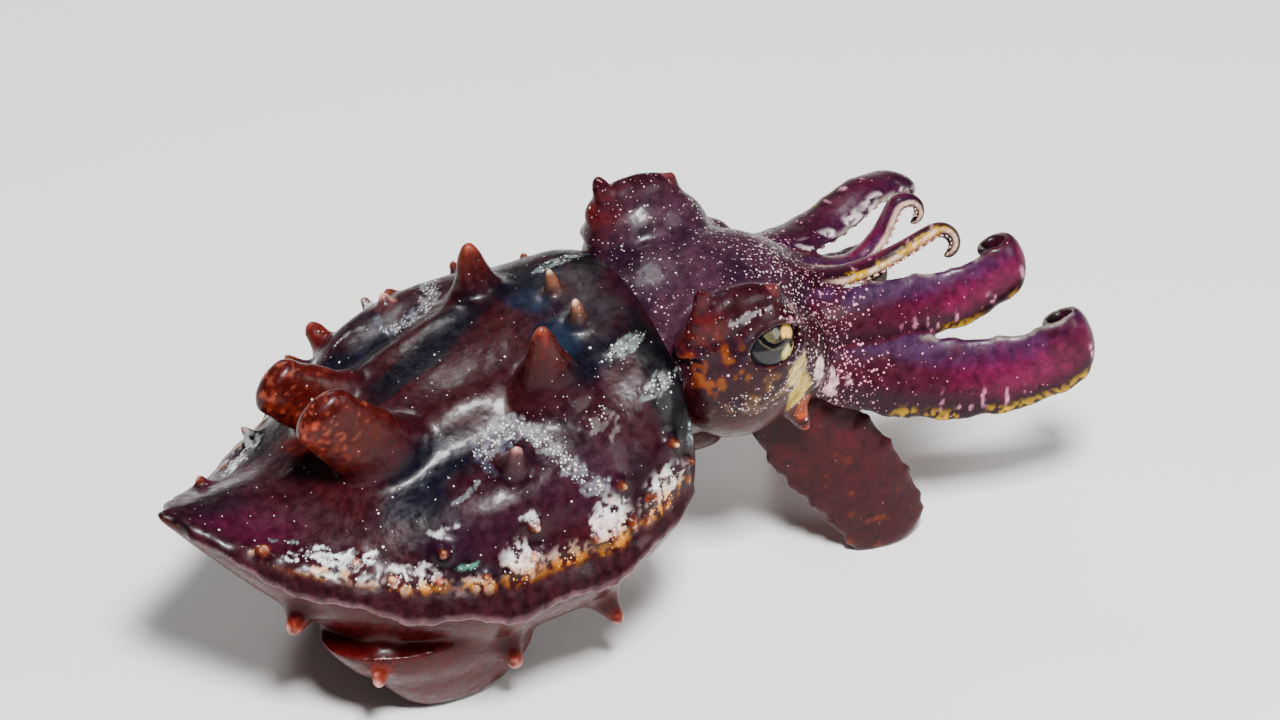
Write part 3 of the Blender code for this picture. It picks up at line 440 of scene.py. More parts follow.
def noise(points, size, seed=0):
    """Smooth noise from 0 to 1, with features of a size in millimetres."""
    spot = np.asarray(points, float) / size + 31.7 * (seed + 1)
    cell = np.floor(spot).astype(np.int64)
    t = spot - cell
    t = t * t * (3 - 2 * t)
    total = np.zeros(len(spot))
    for corner in range(8):
        step = np.array([(corner >> k) & 1 for k in range(3)])
        x, y, z = (cell + step).T
        mixed = (x * 73856093) ^ (y * 19349663) ^ (z * 83492791)
        mixed = (mixed ^ (mixed >> 13)) * 1274126177
        value = ((mixed ^ (mixed >> 16)) & 0xFFFF) / 0xFFFF
        total += value * np.prod(np.where(step, t, 1 - t), axis=1)
    return total


def rough_noise(points, size, seed=0):
    """Noise with finer noise on it, from 0 to 1."""
    layers = ((0.55, 1.0, 0), (0.3, 0.47, 5), (0.15, 0.21, 9))
    return sum(share * noise(points, size * scale, seed + k) for share, scale, k in layers)


def frame_shift():
    """From the source's millimetres to the frame, by where the solids' eyes are."""
    corners = [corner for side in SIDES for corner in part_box(f"eye_{side}")]
    middle = np.array([tuple(corner) for corner in corners]).mean(axis=0)
    return middle - np.array((EYE_CENTRE[0], 0.0, EYE_CENTRE[2])) * MM


SHIFT = frame_shift()


def mesh_object(name, points, faces):
    """A new object from points in millimetres, with its faces turned outwards."""
    mesh = bpy.data.meshes.new(name)
    mesh.from_pydata((np.asarray(points, float) * MM + SHIFT).tolist(), [], faces)
    shell = bmesh.new()
    shell.from_mesh(mesh)
    bmesh.ops.recalc_face_normals(shell, faces=shell.faces)
    shell.to_mesh(mesh)
    shell.free()
    made = bpy.data.objects.new(name, mesh)
    bpy.context.scene.collection.objects.link(made)
    return made


def loft_faces(rings, around, first=0):
    """The faces of a closed solid through rings of points, counted from a first point."""
    faces = []
    for r in range(rings - 1):
        for k in range(around):
            a, b = first + r * around + k, first + r * around + (k + 1) % around
            faces.append((a, b, b + around, a + around))
    last = first + (rings - 1) * around
    return faces + [tuple(range(first, first + around)), tuple(range(last, last + around))]


def loft(name, rings):
    """A closed solid through rings of points that all have the same count."""
    return mesh_object(name, np.concatenate(rings), loft_faces(len(rings), len(rings[0])))


def oval(around, first, second, wide=1.0, high=1.0):
    """Points round an oval about the origin, wide along one direction and high along another."""
    turn = np.linspace(0, 2 * math.pi, around, endpoint=False)
    return np.outer(np.cos(turn) * wide, first) + np.outer(np.sin(turn) * high, second)


def ball_rings(centre, radii, around, tilts):
    """Level rings of points over an ellipsoid, by their angles from its lowest point."""
    rings = [oval(around, X, Y, math.sin(t), math.sin(t)) - Z * math.cos(t) for t in tilts]
    return [np.asarray(centre) + ring * radii for ring in rings]


def ellipsoid(name, centre, radii):
    """A closed ellipsoid with its poles on its Z axis."""
    tilts = math.pi * (0.01 + 0.98 * np.arange(BALL_ROWS + 1) / BALL_ROWS)
    return loft(name, ball_rings(centre, radii, BALL_AROUND, tilts))


def horn(papilla, around=30, stops=30, lumps=0.0, blunt=0.26):
    """A skin horn: a flared root that narrows in a hollow curve to a rounded, uneven tip.

    Blunt is the share of its length that rounds off, so a small one leaves a square end.
    """
    root, tip = np.asarray(papilla.root, float), np.asarray(papilla.tip, float)
    across = unit(np.cross(unit(tip - root), X))
    along = np.cross(across, unit(tip - root))
    rings = []
    for t in np.linspace(0, 1, stops):
        flare = (1 - t) ** HORN_FLARE
        round_off = math.sqrt(max(0.0, 1 - (max(t - 1 + blunt, 0) / (blunt + 0.005)) ** 2)) + 0.02
        wide, deep = (
            (end + (start - end) * flare) * round_off
            for start, end in zip(papilla.root_radii, papilla.tip_radii)
        )
        centre, spokes = root + (tip - root) * t, oval(around, along, across, wide, deep)
        uneven = 1 + lumps * (noise(centre + spokes, 1.5, 3) - 0.5)[:, None]
        rings.append(centre + spokes * uneven)
    return loft("horn", rings)


def evaluated(target):
    """Applies the modifiers of an object to its mesh."""
    graph = bpy.context.evaluated_depsgraph_get()
    mesh = bpy.data.meshes.new_from_object(target.evaluated_get(graph))
    target.modifiers.clear()
    target.data = mesh
    return target


def boolean(target, others, operation):
    """Joins or cuts the target with other objects, then removes them."""
    helpers = bpy.data.collections.new("helpers")
    bpy.context.scene.collection.children.link(helpers)
    for other in others:
        bpy.context.scene.collection.objects.unlink(other)
        helpers.objects.link(other)
    step = target.modifiers.new(operation.lower(), "BOOLEAN")
    step.operation = operation
    step.operand_type = "COLLECTION"
    step.collection = helpers
    step.solver = "MANIFOLD"
    evaluated(target)
    for other in others:
        bpy.data.objects.remove(other)
    bpy.data.collections.remove(helpers)
    return target


# Mantle


def relief(x, angle):
    """How far the swellings and hollows move the mantle's skin out at places."""
    above = np.degrees(np.arcsin(np.sin(angle)))
    total = 0.0
    for middle, high, along, over, height in MANTLE_RELIEF:
        off = ((x - middle) / along) ** 2 + ((above - high) / over) ** 2
        total = total + height * np.exp(-off)
    return total


def section(x):
    """The mantle at X: its side line, height over it, depth under it, half width and ridge."""
    rows = (MANTLE_SIDE_Z, MANTLE_TOP_Z, MANTLE_BELLY_Z, MANTLE_HALF_WIDTH, MANTLE_RIDGE)
    side, top, belly, half, ridge = (smooth(MANTLE_X, row, x) for row in rows)
    return side, top - side, side - belly, half, ridge


def left_rear(x, y):
    """How much a place belongs to the left rear, which hangs lower and is slimmer."""
    return np.where(y > 0, np.clip((REAR_TO - x) / (REAR_TO - REAR_FROM), 0, 1), 0.0)


def rolled(x, y, rear):
    """How far the mantle's roll lifts a place, less how far the left rear drops it."""
    return MANTLE_ROLL * y * np.minimum(1.0, (ROLL_END - x) / ROLL_FADE) - REAR_DROP * y * rear


def mantle_skin(x, angle, margin=0.0):
    """Points of the mantle's skin. The angle runs from the left side (0) over the back (90)."""
    x, angle = np.broadcast_arrays(np.asarray(x, float), np.asarray(angle, float))
    side, top, deep, half, ridge = section(x)
    lift = np.sin(angle)
    z = np.where(lift > 0, top * np.abs(lift) ** ridge, -deep * np.abs(lift) ** BELLY_POWER)
    y = half * signed_power(np.cos(angle), SIDE_POWER)
    reach = np.hypot(y, z)
    grown = 1 + (margin + np.minimum(1.0, reach / 6) * relief(x, angle)) / np.maximum(reach, 0.3)
    y, z = y * grown, z * grown
    rear = left_rear(x, y) * (1 + np.minimum(lift, 0))
    y = y * (1 - REAR_SLIM * rear)
    return np.stack([x, y, side + z + rolled(x, y, rear)], axis=-1)


def mantle_out(x, angle):
    """The direction straight out of the mantle's skin at one place."""
    ahead = mantle_skin(x + 0.4, angle) - mantle_skin(x - 0.4, angle)
    over = mantle_skin(x, angle + 0.03) - mantle_skin(x, angle - 0.03)
    out = unit(np.cross(ahead, over))
    middle = np.array((x, 0.0, smooth(MANTLE_X, MANTLE_SIDE_Z, x)))
    return out if out @ (mantle_skin(x, angle) - middle) > 0 else -out


def small_horn(x, degrees, length, side, radii=SMALL_HORN_RADII):
    """A small horn set straight out of the mantle's skin, at degrees above the side line."""
    angle = math.radians(degrees if side == "left" else 180 - degrees)
    foot, out = mantle_skin(x, angle), mantle_out(x, angle)
    return Papilla(foot - out * 1.2, foot + out * length, (radii[0],) * 2, (radii[1],) * 2)


def small_horns(side):
    """The horns along one side and one side of the belly."""
    sides = [(x, SIDE_HORN_ANGLE, long, side) for x, long in zip(SIDE_HORN_X, SIDE_HORN_LENGTHS)]
    belly = [
        (x, BELLY_HORN_ANGLE, long, side, BELLY_HORN_RADII)
        for x, long in zip(BELLY_HORN_X, BELLY_HORN_LENGTHS)
    ]
    return [small_horn(*placed) for placed in sides + belly]


def mantle_rings(stations, margin=0.0):
    """Rings of points round the mantle."""
    turn = np.linspace(0, 2 * math.pi, MANTLE_AROUND, endpoint=False)
    return [mantle_skin(x, turn, margin) for x in stations]


def mantle():
    """The mantle, hollow inside its collar, with no horns yet."""
    share = np.linspace(0, 1, MANTLE_STATIONS)
    body = loft("mantle", mantle_rings(MANTLE_LENGTH * (0.25 * share + 0.75 * share**1.5)))
    hollow = [mantle_rings([x], -wall)[0] for x, wall in zip(COLLAR_X, COLLAR_WALL)]
    return boolean(body, [loft("hollow", hollow)], "DIFFERENCE")


def fin_rows(side):
    """Rings across a thin frill with waves and ripples along one side of the mantle."""
    sign = 1 if side == "left" else -1
    droop = math.radians(FIN_DROOP[side])
    rings = []
    for s in np.linspace(0, 1, FIN_STATIONS):
        x = FIN_FROM + (FIN_TO - FIN_FROM) * s
        root = mantle_skin(x, 0.0 if side == "left" else math.pi)
        width = FIN_WIDTH * math.sin(math.pi * min(max(s, 0.03), 0.97)) ** 0.45
        wave = FIN_WAVE * math.sin(2 * math.pi * FIN_WAVES * s)
        ripple = FIN_RIPPLE * math.sin(2 * math.pi * FIN_RIPPLES * s + 2 * math.sin(9 * s))
        upper, lower = [], []
        for t in np.linspace(0, 1, FIN_ACROSS):
            reach = (width + FIN_SUNK) * t - FIN_SUNK
            thick = FIN_ROOT_THICK + (FIN_EDGE_THICK - FIN_ROOT_THICK) * t**0.6
            bend = droop * (0.35 + 0.65 * t)
            out = np.array((0.0, sign * math.cos(bend), -math.sin(bend)))
            up = np.array((0.0, sign * math.sin(bend), math.cos(bend)))
            middle = root + out * reach + Z * (wave * t + ripple * t**2)
            upper.append(middle + up * thick / 2)
            lower.append(middle - up * thick / 2)
        rings.append(np.array(upper + lower[::-1]))
    return rings


def walking_flap(side):
    """A belly lobe that narrows to a flat sole on the floor."""
    heights, *columns = np.array(FLAP_ROWS).T
    rings = []
    for z in np.linspace(heights[0], heights[-1], FLAP_STATIONS):
        x, y, long, wide = (float(smooth(heights, column, z)) for column in columns)
        rings.append(mirrored((x, y, z), side) + oval(FLAP_AROUND, X, Y, long, wide))
    return loft(f"walking_flap_{side}", rings)


# Head


def head_rings():
    """Rings of points round the head."""
    turn = np.linspace(0, 2 * math.pi, HEAD_AROUND, endpoint=False)
    rings = []
    for x in np.linspace(HEAD_X[0], HEAD_X[-1], HEAD_STATIONS):
        y = smooth(HEAD_X, HEAD_HALF_WIDTH, x) * signed_power(np.cos(turn), 0.9)
        z = smooth(HEAD_X, HEAD_HALF_HEIGHT, x) * signed_power(np.sin(turn), 0.9)
        z = z + smooth(HEAD_X, HEAD_CENTRE_Z, x)
        rings.append(np.stack([np.full(HEAD_AROUND, x), y, z], axis=1))
    return rings


def eye_frame(side):
    """The centre of an eye and its outward, forward and upward directions."""
    outward = unit(mirrored(EYE_OUTWARD, side))
    forward = unit(np.cross(outward, Z))
    forward = forward if forward[0] > 0 else -forward
    upward = unit(np.cross(forward, outward))
    upward = upward if upward[2] > 0 else -upward
    return np.array(mirrored(EYE_CENTRE, side)), outward, forward, upward


def lids(side):
    """The rim of skin round an eye: an oval ring that is thicker above."""
    centre, outward, forward, upward = eye_frame(side)
    points, faces = [], []
    for i in range(LID_AROUND):
        turn = 2 * math.pi * i / LID_AROUND
        ahead, above = math.cos(turn), math.sin(turn)
        rim = forward * ahead * LID_HALF_LENGTH + upward * above * LID_HALF_HEIGHT
        spoke = unit(forward * ahead + upward * above)
        thick = LID_THICK + LID_HOOD * max(0.0, above)
        tube = oval(LID_TUBE, spoke, outward, thick, thick)
        points.append(centre + outward * LID_OUT + rim + tube)
        for j in range(LID_TUBE):
            a, b = i * LID_TUBE + j, i * LID_TUBE + (j + 1) % LID_TUBE
            step = LID_TUBE * (1 if i < LID_AROUND - 1 else 1 - LID_AROUND)
            faces.append((a, b, b + step, a + step))
    return mesh_object("lids", np.concatenate(points), faces)


def lid_opening(side):
    """The cutter that opens the skin between the lids."""
    centre, outward, forward, upward = eye_frame(side)
    return loft("opening", [
        centre + outward * out
        + oval(60, forward, upward, LID_HALF_LENGTH - inset, LID_HALF_HEIGHT - inset)
        for out, inset in LID_OPENING
    ])


def head():
    """The head with its bulges, horns, lids and sockets."""
    others, cutters = [], []
    for side in SIDES:
        others.append(ellipsoid("bulge", mirrored(BULGE_CENTRE, side), BULGE_RADII))
        others.append(ellipsoid("brow", mirrored(BROW_CENTRE, side), BROW_RADII))
        others += [horn(mirrored_papilla(papilla, side), lumps=0.3) for papilla in HEAD_HORNS]
        others.append(lids(side))
        cutters.append(ellipsoid("socket", eye_frame(side)[0], (EYE_RADIUS - 0.15,) * 3))
        cutters.append(lid_opening(side))
    body = boolean(loft("head", head_rings()), others, "UNION")
    return boolean(body, cutters, "DIFFERENCE")


def funnel():
    """The funnel, a tapered tube under the neck that is open in front."""
    start, end = np.array(FUNNEL_FROM), np.array(FUNNEL_TO)
    wide, narrow = FUNNEL_RADII
    circle = oval(FUNNEL_AROUND, Y, Z)
    rings = []
    for s in np.linspace(0, 1, FUNNEL_STATIONS):
        radius = (wide + (narrow - wide) * s) * (1 - 0.15 * max(0.0, (s - 0.93) / 0.07) ** 2)
        rings.append(start + (end - start) * s + circle * radius)
    body = loft("funnel", rings)
    inside = start + (end - start) * (1 - FUNNEL_DEPTH / (end[0] - start[0]))
    bore = [inside + circle * FUNNEL_BORE * 0.7, end + 2.0 * X + circle * FUNNEL_BORE]
    return boolean(body, [loft("bore", bore)], "DIFFERENCE")


def mouth():
    """The lips: a low puckered ring in front of the head, hollow for the beak."""
    turn = np.linspace(0, 2 * math.pi, MOUTH_AROUND, endpoint=False)
    pucker = MOUTH_RADIUS * (1 + 0.05 * np.cos(turn * 14))
    rings = []
    for ahead, radius in MOUTH_PROFILE:
        lip = oval(MOUTH_AROUND, Y, Z, pucker * radius, pucker * radius)
        rings.append(MOUTH_CENTRE + MOUTH_LENGTH * ahead * X + lip)
    return loft("mouth", rings)


def beak():
    """The beak tip, a curved cone that sits in the lips."""
    rings = []
    for out in np.linspace(0, 1, 16):
        reach = BEAK_RADIUS * (0.97 * (1 - out**1.6) + 0.03)
        ahead = MOUTH_LENGTH * 0.3 + BEAK_LENGTH * out
        middle = MOUTH_CENTRE + ahead * X - 0.5 * out**2 * Z
        rings.append(middle + oval(40, Y, Z, reach * 0.8, reach))
    return loft("beak", rings)


# Arms


class Stop(NamedTuple):
    """A place along an arm: its share of the length, its frame, and the width beside the widest."""

    s: float
    place: np.ndarray
    heading: np.ndarray
    outer: np.ndarray
    share: float


def route_heading(route, reach, s):
    """The direction of a smooth curve through the route at a distance along it."""
    last = len(route) - 1
    k = int(np.clip(np.searchsorted(reach, s) - 1, 0, last - 1))
    t = (s - reach[k]) / (reach[k + 1] - reach[k])
    pairs = ((max(k - 1, 0), k + 1), (k, min(k + 2, last)), (k, k + 1))
    start, end, chord = ((route[j] - route[i]) / (reach[j] - reach[i]) for i, j in pairs)
    start, end = start * (1 - 4 * t + 3 * t**2), end * (3 * t**2 - 2 * t)
    return unit(6 * chord * (t - t**2) + start + end)


def arm_line(arm):
    """Stops along an arm from its root to its coiled tip, and the whole length."""
    route = np.asarray(arm.route, float)
    reach = np.concatenate([[0], np.cumsum(np.linalg.norm(np.diff(route, axis=0), axis=1))])
    coil_length = math.radians(arm.coil) * arm.coil_radius * 0.75
    total = reach[-1] + coil_length
    coil_from = reach[-1] / total
    knots = (0.0, coil_from * ARM_BROAD_AT, coil_from, (1 + coil_from) / 2, 1.0)
    place, heading = route[0].copy(), route_heading(route, reach, 0.0)
    outer = np.asarray(arm.facing, float)
    step = total / ARM_STEPS
    stops = []
    for i in range(ARM_STEPS + 1):
        done = i * step
        if done <= reach[-1]:
            heading = route_heading(route, reach, done)
        else:
            tightening = 1 + 0.6 * (done - reach[-1]) / coil_length
            axis = unit(np.cross(heading, outer))
            heading = turned(heading, axis, -step * tightening / arm.coil_radius)
        outer = unit(outer - heading * (outer @ heading))
        outer = turned(outer, heading, math.radians(arm.twist) / ARM_STEPS)
        share = float(smooth(knots, arm.widths, done / total))
        stops.append(Stop(i / ARM_STEPS, place.copy(), heading.copy(), outer.copy(), share))
        across = np.cross(heading, outer)
        place = place + heading * step + across * (arm.drift * step if done > reach[-1] else 0.0)
    return stops, total


def stop_at(stops, s):
    """The stop at a share of the arm's length, between the two nearest ones."""
    k = min(int(s * (len(stops) - 1)), len(stops) - 2)
    t = s * (len(stops) - 1) - k
    mixed = [a * (1 - t) + b * t for a, b in zip(stops[k], stops[k + 1])]
    heading = unit(mixed[2])
    outer = unit(mixed[3] - heading * (mixed[3] @ heading))
    return Stop(s, mixed[1], heading, outer, mixed[4])


def arm_depth(arm, stop):
    """How far the outer face stands from the middle of the arm."""
    root = 1 + ARM_ROOT_DEEP * max(0.0, 1 - stop.s / 0.45) ** 1.5
    return arm.thick / 2 * (0.45 + 0.55 * stop.share) * root


def arm_ring(arm, stop):
    """One ring round an arm: domed outside, thin at both edges and flatter on the sucker face."""
    turn = np.linspace(0, 2 * math.pi, ARM_AROUND, endpoint=False)
    side, lift = np.cos(turn), np.sin(turn)
    end = math.sqrt(max(0.02, 1 - (max(stop.s - 0.965, 0) / 0.036) ** 2))
    frill = 1 + 0.035 * math.sin(stop.s * 46) + 0.02 * np.sin(stop.s * 91 + side)
    wide = arm.half_width * stop.share * end * frill
    root = max(0.0, 1 - stop.s / 0.3)
    dome = (1 - np.abs(side) ** DOME_POWER) * (1 - root) + np.abs(lift) * root
    deep = arm_depth(arm, stop) * np.where(lift > 0, 1.0, ORAL_SHARE) * end
    rise = np.sign(lift) * (ARM_EDGE * np.abs(lift) ** 0.3 * end + (deep - ARM_EDGE * end) * dome)
    across = np.cross(stop.heading, stop.outer)
    return stop.place + np.outer(side * wide, across) + np.outer(rise, stop.outer)


def arm_rings(arm):
    """The rings of a whole arm."""
    stops = arm_line(arm)[0]
    return [arm_ring(arm, stop_at(stops, s)) for s in ARM_SHARES]


def sucker_points(arm, stop, row, size):
    """The rings of a stalked cup on the sucker face, with a rim and a hollow top."""
    across = np.cross(stop.heading, stop.outer)
    bulge = (arm_depth(arm, stop) * ORAL_SHARE - ARM_EDGE) * (1 - abs(row) ** DOME_POWER)
    deep = ARM_EDGE * 0.8 + bulge
    foot = stop.place + across * arm.half_width * stop.share * row - stop.outer * deep
    circle = oval(SUCKER_AROUND, stop.heading, across)
    return np.concatenate([
        foot - stop.outer * SUCKER_RISE * size * rise + circle * (SUCKER_RADIUS * size * radius)
        for rise, radius in SUCKER_PROFILE
    ])


def suckers():
    """All suckers of all arms in one mesh, four rows on each arm down to its tip."""
    points, faces = [], []
    each = len(SUCKER_PROFILE) * SUCKER_AROUND
    for arm in ARMS.values():
        stops, total = arm_line(arm)
        s, k = SUCKERS_FROM, 0
        while s < (SUCKERS_TO_CURL if arm.widths is CURL else SUCKERS_TO):
            stop = stop_at(stops, s)
            size = (0.35 + 0.65 * stop.share) * arm.half_width / SUCKER_FULL_AT
            for row in SUCKER_ROWS[k % 2 :: 2]:
                cup = sucker_points(arm, stop, row, size)
                if cup[:, 2].min() >= SUCKER_CLEAR:
                    faces += loft_faces(len(SUCKER_PROFILE), SUCKER_AROUND, each * len(points))
                    points.append(cup)
            s += SUCKER_STEP * size / total
            k += 1
    return mesh_object("suckers", np.concatenate(points), faces)


# Skin


def knobs():
    """Small knobs of skin, thick along the fin line and thin elsewhere."""
    draw = np.random.default_rng(KNOB_SEED)
    made = []
    for middle, low, high, spread, count, size in KNOB_CLUSTERS:
        for side in SIDES * count:
            x = float(np.clip(middle + draw.normal(0, spread), 3.0, 58.0))
            degrees = draw.uniform(low, high)
            wide = size * draw.uniform(0.7, 1.25)
            length = wide * draw.uniform(0.7, 1.7)
            made.append(small_horn(x, degrees, length, side, (wide, wide * 0.6)))
    return made


def whole_body():
    """Every shape of flesh joined in one closed mesh, and cut flat at the floor."""
    body = mantle()
    others = [horn(lobe, 48, 40, 0.12, 0.13) for lobe in LOBES]
    others += [horn(papilla, lumps=0.25) for papilla in LEFT_HORNS]
    for side in SIDES:
        placed = [mirrored_papilla(papilla, side) for papilla in BACK_HORNS] + small_horns(side)
        others += [horn(papilla, lumps=0.25) for papilla in placed]
    others += [horn(papilla, around=12, stops=8) for papilla in knobs()]
    for side in SIDES:
        cheek = ellipsoid(f"cheek_{side}", mirrored(CHEEK_CENTRE, side), CHEEK_RADII)
        others += [loft(f"fin_{side}", fin_rows(side)), walking_flap(side), cheek]
    others += [head(), funnel(), mouth()]
    others += [loft(name, arm_rings(arm)) for name, arm in ARMS.items()]
    boolean(body, others, "UNION")
    square = np.array(BELOW_FLOOR)
    return boolean(body, [loft("below_floor", [square - 40 * Z, square])], "DIFFERENCE")


def remeshed(target):
    """The target with one even mesh over all its shapes."""
    step = target.modifiers.new("remesh", "REMESH")
    step.mode = "VOXEL"
    step.voxel_size = VOXEL * MM
    return evaluated(target)


class Net:
    """The corners of a mesh and which of them are neighbours."""

    def __init__(self, mesh):
        self.mesh = mesh
        self.count = len(mesh.vertices)
        ends = np.empty(len(mesh.edges) * 2, np.int32)
        mesh.edges.foreach_get("vertices", ends)
        self.a, self.b = ends[0::2], ends[1::2]
        near = np.bincount(self.a, minlength=self.count) + np.bincount(self.b, minlength=self.count)
        self.near = np.maximum(near, 1).astype(float)

    def mean(self, values):
        """The mean of each corner's neighbours."""
        columns = values.reshape(self.count, -1)
        total = np.empty_like(columns)
        for k in range(columns.shape[1]):
            total[:, k] = np.bincount(self.a, columns[self.b, k], self.count)
            total[:, k] += np.bincount(self.b, columns[self.a, k], self.count)
        return (total / self.near[:, None]).reshape(values.shape)

    def spread(self, values, rounds):
        """The values after they run into their neighbours some rounds."""
        for _ in range(rounds):
            values = 0.5 * values + 0.5 * self.mean(values)
        return values

    def read(self):
        """The corners in the source's millimetres."""
        points = np.empty(self.count * 3)
        self.mesh.vertices.foreach_get("co", points)
        return (points.reshape(-1, 3) - SHIFT) / MM

    def write(self, points):
        """Puts the corners at points in the source's millimetres."""
        self.mesh.vertices.foreach_set("co", (points * MM + SHIFT).ravel())
        self.mesh.update()

    def normals(self):
        """The outward direction at each corner."""
        out = np.empty(self.count * 3, np.float32)
        self.mesh.vertex_normals.foreach_get("vector", out)
        return out.reshape(-1, 3).astype(float)


def rounded(net):
    """Fills the creases where shapes meet and evens the mesh, but hardly moves the ridges."""
    points = net.read()
    for step in range(FILLET_ROUNDS):
        if step % 4 == 0:
            net.write(points)
            out = net.normals()
        pull = net.mean(points) - points
        hollow = (pull * out).sum(axis=1) > 0
        points = points + pull * np.where(hollow, HOLLOW_PULL, RIDGE_PULL)[:, None]
        points[:, 2] = np.maximum(points[:, 2], 0.0)
    net.write(points)
    return points


def wrinkled(net, points):
    """Uneven skin: shallow folds and lumps, out along the normals."""
    push = FOLD_HEIGHT * (rough_noise(points, FOLD_SIZE, 2) - 0.5)
    push += LUMP_HEIGHT * (rough_noise(points * (1, 1, 1.6), LUMP_SIZE, 4) - 0.5)
    push *= soft(0.0, 1.5, points[:, 2]) * (1 - 0.7 * soft(74, 82, points[:, 0]))
    points = points + net.normals() * push[:, None]
    net.write(points)
    return points


# Paint


def rgb(red, green, blue):
    """A colour given in display values from 0 to 255, as linear light."""
    value = np.array((red, green, blue)) / 255
    return np.where(value <= 0.04045, value / 12.92, ((value + 0.055) / 1.055) ** 2.4)


class Coat:
    """Paint at the corners of a mesh: a tint, and how thickly flecks lie on it."""

    def __init__(self, count, colour):
        self.tint = np.tile(rgb(*colour), (count, 1))
        self.flecks = 0.0

    def lay(self, colour, weight):
        """Lays a colour over the tint by a weight at each corner."""
        colour = rgb(*colour) if isinstance(colour, tuple) else colour
        self.tint = self.tint + (colour - self.tint) * np.clip(weight, 0, 1)[:, None]


def off_path(here, path):
    """The distance of places in a plane from a path of straight lengths."""
    nearest = np.full(len(here), 1e9)
    for a, b in zip(path[:-1], path[1:]):
        t = np.clip(((here - a) @ (b - a)) / ((b - a) @ (b - a)), 0, 1)
        nearest = np.minimum(nearest, np.linalg.norm(here - a - t[:, None] * (b - a), axis=1))
    return nearest


def landmarks():
    """Points over every shape, and a row of facts for each one.

    A row has the label's number, the share along an arm or across a fin, the cosine and the sine
    round an arm, and the arm's number or -1.
    """
    points, facts = [], []

    def mark(label, ring, along=0.0, cosine=0.0, sine=0.0, arm=-1):
        row = np.broadcast_arrays(LABELS.index(label), along, cosine, sine, arm, ring[:, 0])[:5]
        points.append(ring)
        facts.append(np.stack(row, axis=1))

    across = np.linspace(0, 1, FIN_ACROSS)
    across = np.concatenate([across, across[::-1]])
    for side in SIDES:
        for ring in fin_rows(side):
            mark("fin", ring[across > 0.5], across[across > 0.5])
    for ring in mantle_rings(np.linspace(0.5, 60, 60)):
        mark("mantle", ring)
    heads = head_rings()
    tilts = math.pi - np.linspace(0.1, 3.04, 20)
    steps = np.linspace(0, 1, 8)[:, None]
    for side in SIDES:
        for centre, radii in HEAD_SWELLINGS:
            heads += ball_rings(mirrored(centre, side), radii, 30, tilts)
        for papilla in HEAD_HORNS:
            placed = mirrored_papilla(papilla, side)
            heads.append(np.array(placed.root) * (1 - steps) + np.array(placed.tip) * steps)
    start, end, circle = np.array(FUNNEL_FROM), np.array(FUNNEL_TO), oval(24, Y, Z)
    heads += [start + (end - start) * s + circle * 3 for s in np.linspace(0, 1, 12)]
    heads.append(MOUTH_CENTRE + circle * 2.4 + 1.2 * X)
    for ring in heads:
        mark("head", ring)
    turn = np.linspace(0, 2 * math.pi, ARM_AROUND, endpoint=False)
    for number, arm in enumerate(ARMS.values()):
        for ring, s in zip(arm_rings(arm), ARM_SHARES):
            mark("arm", ring, s, np.cos(turn), np.sin(turn), number)
    return np.concatenate(points), np.concatenate(facts)


def search_tree(points):
    """A tree that finds the nearest of the points."""
    tree = kdtree.KDTree(len(points))
    for k, point in enumerate(points):
        tree.insert(point, k)
    tree.balance()
    return tree


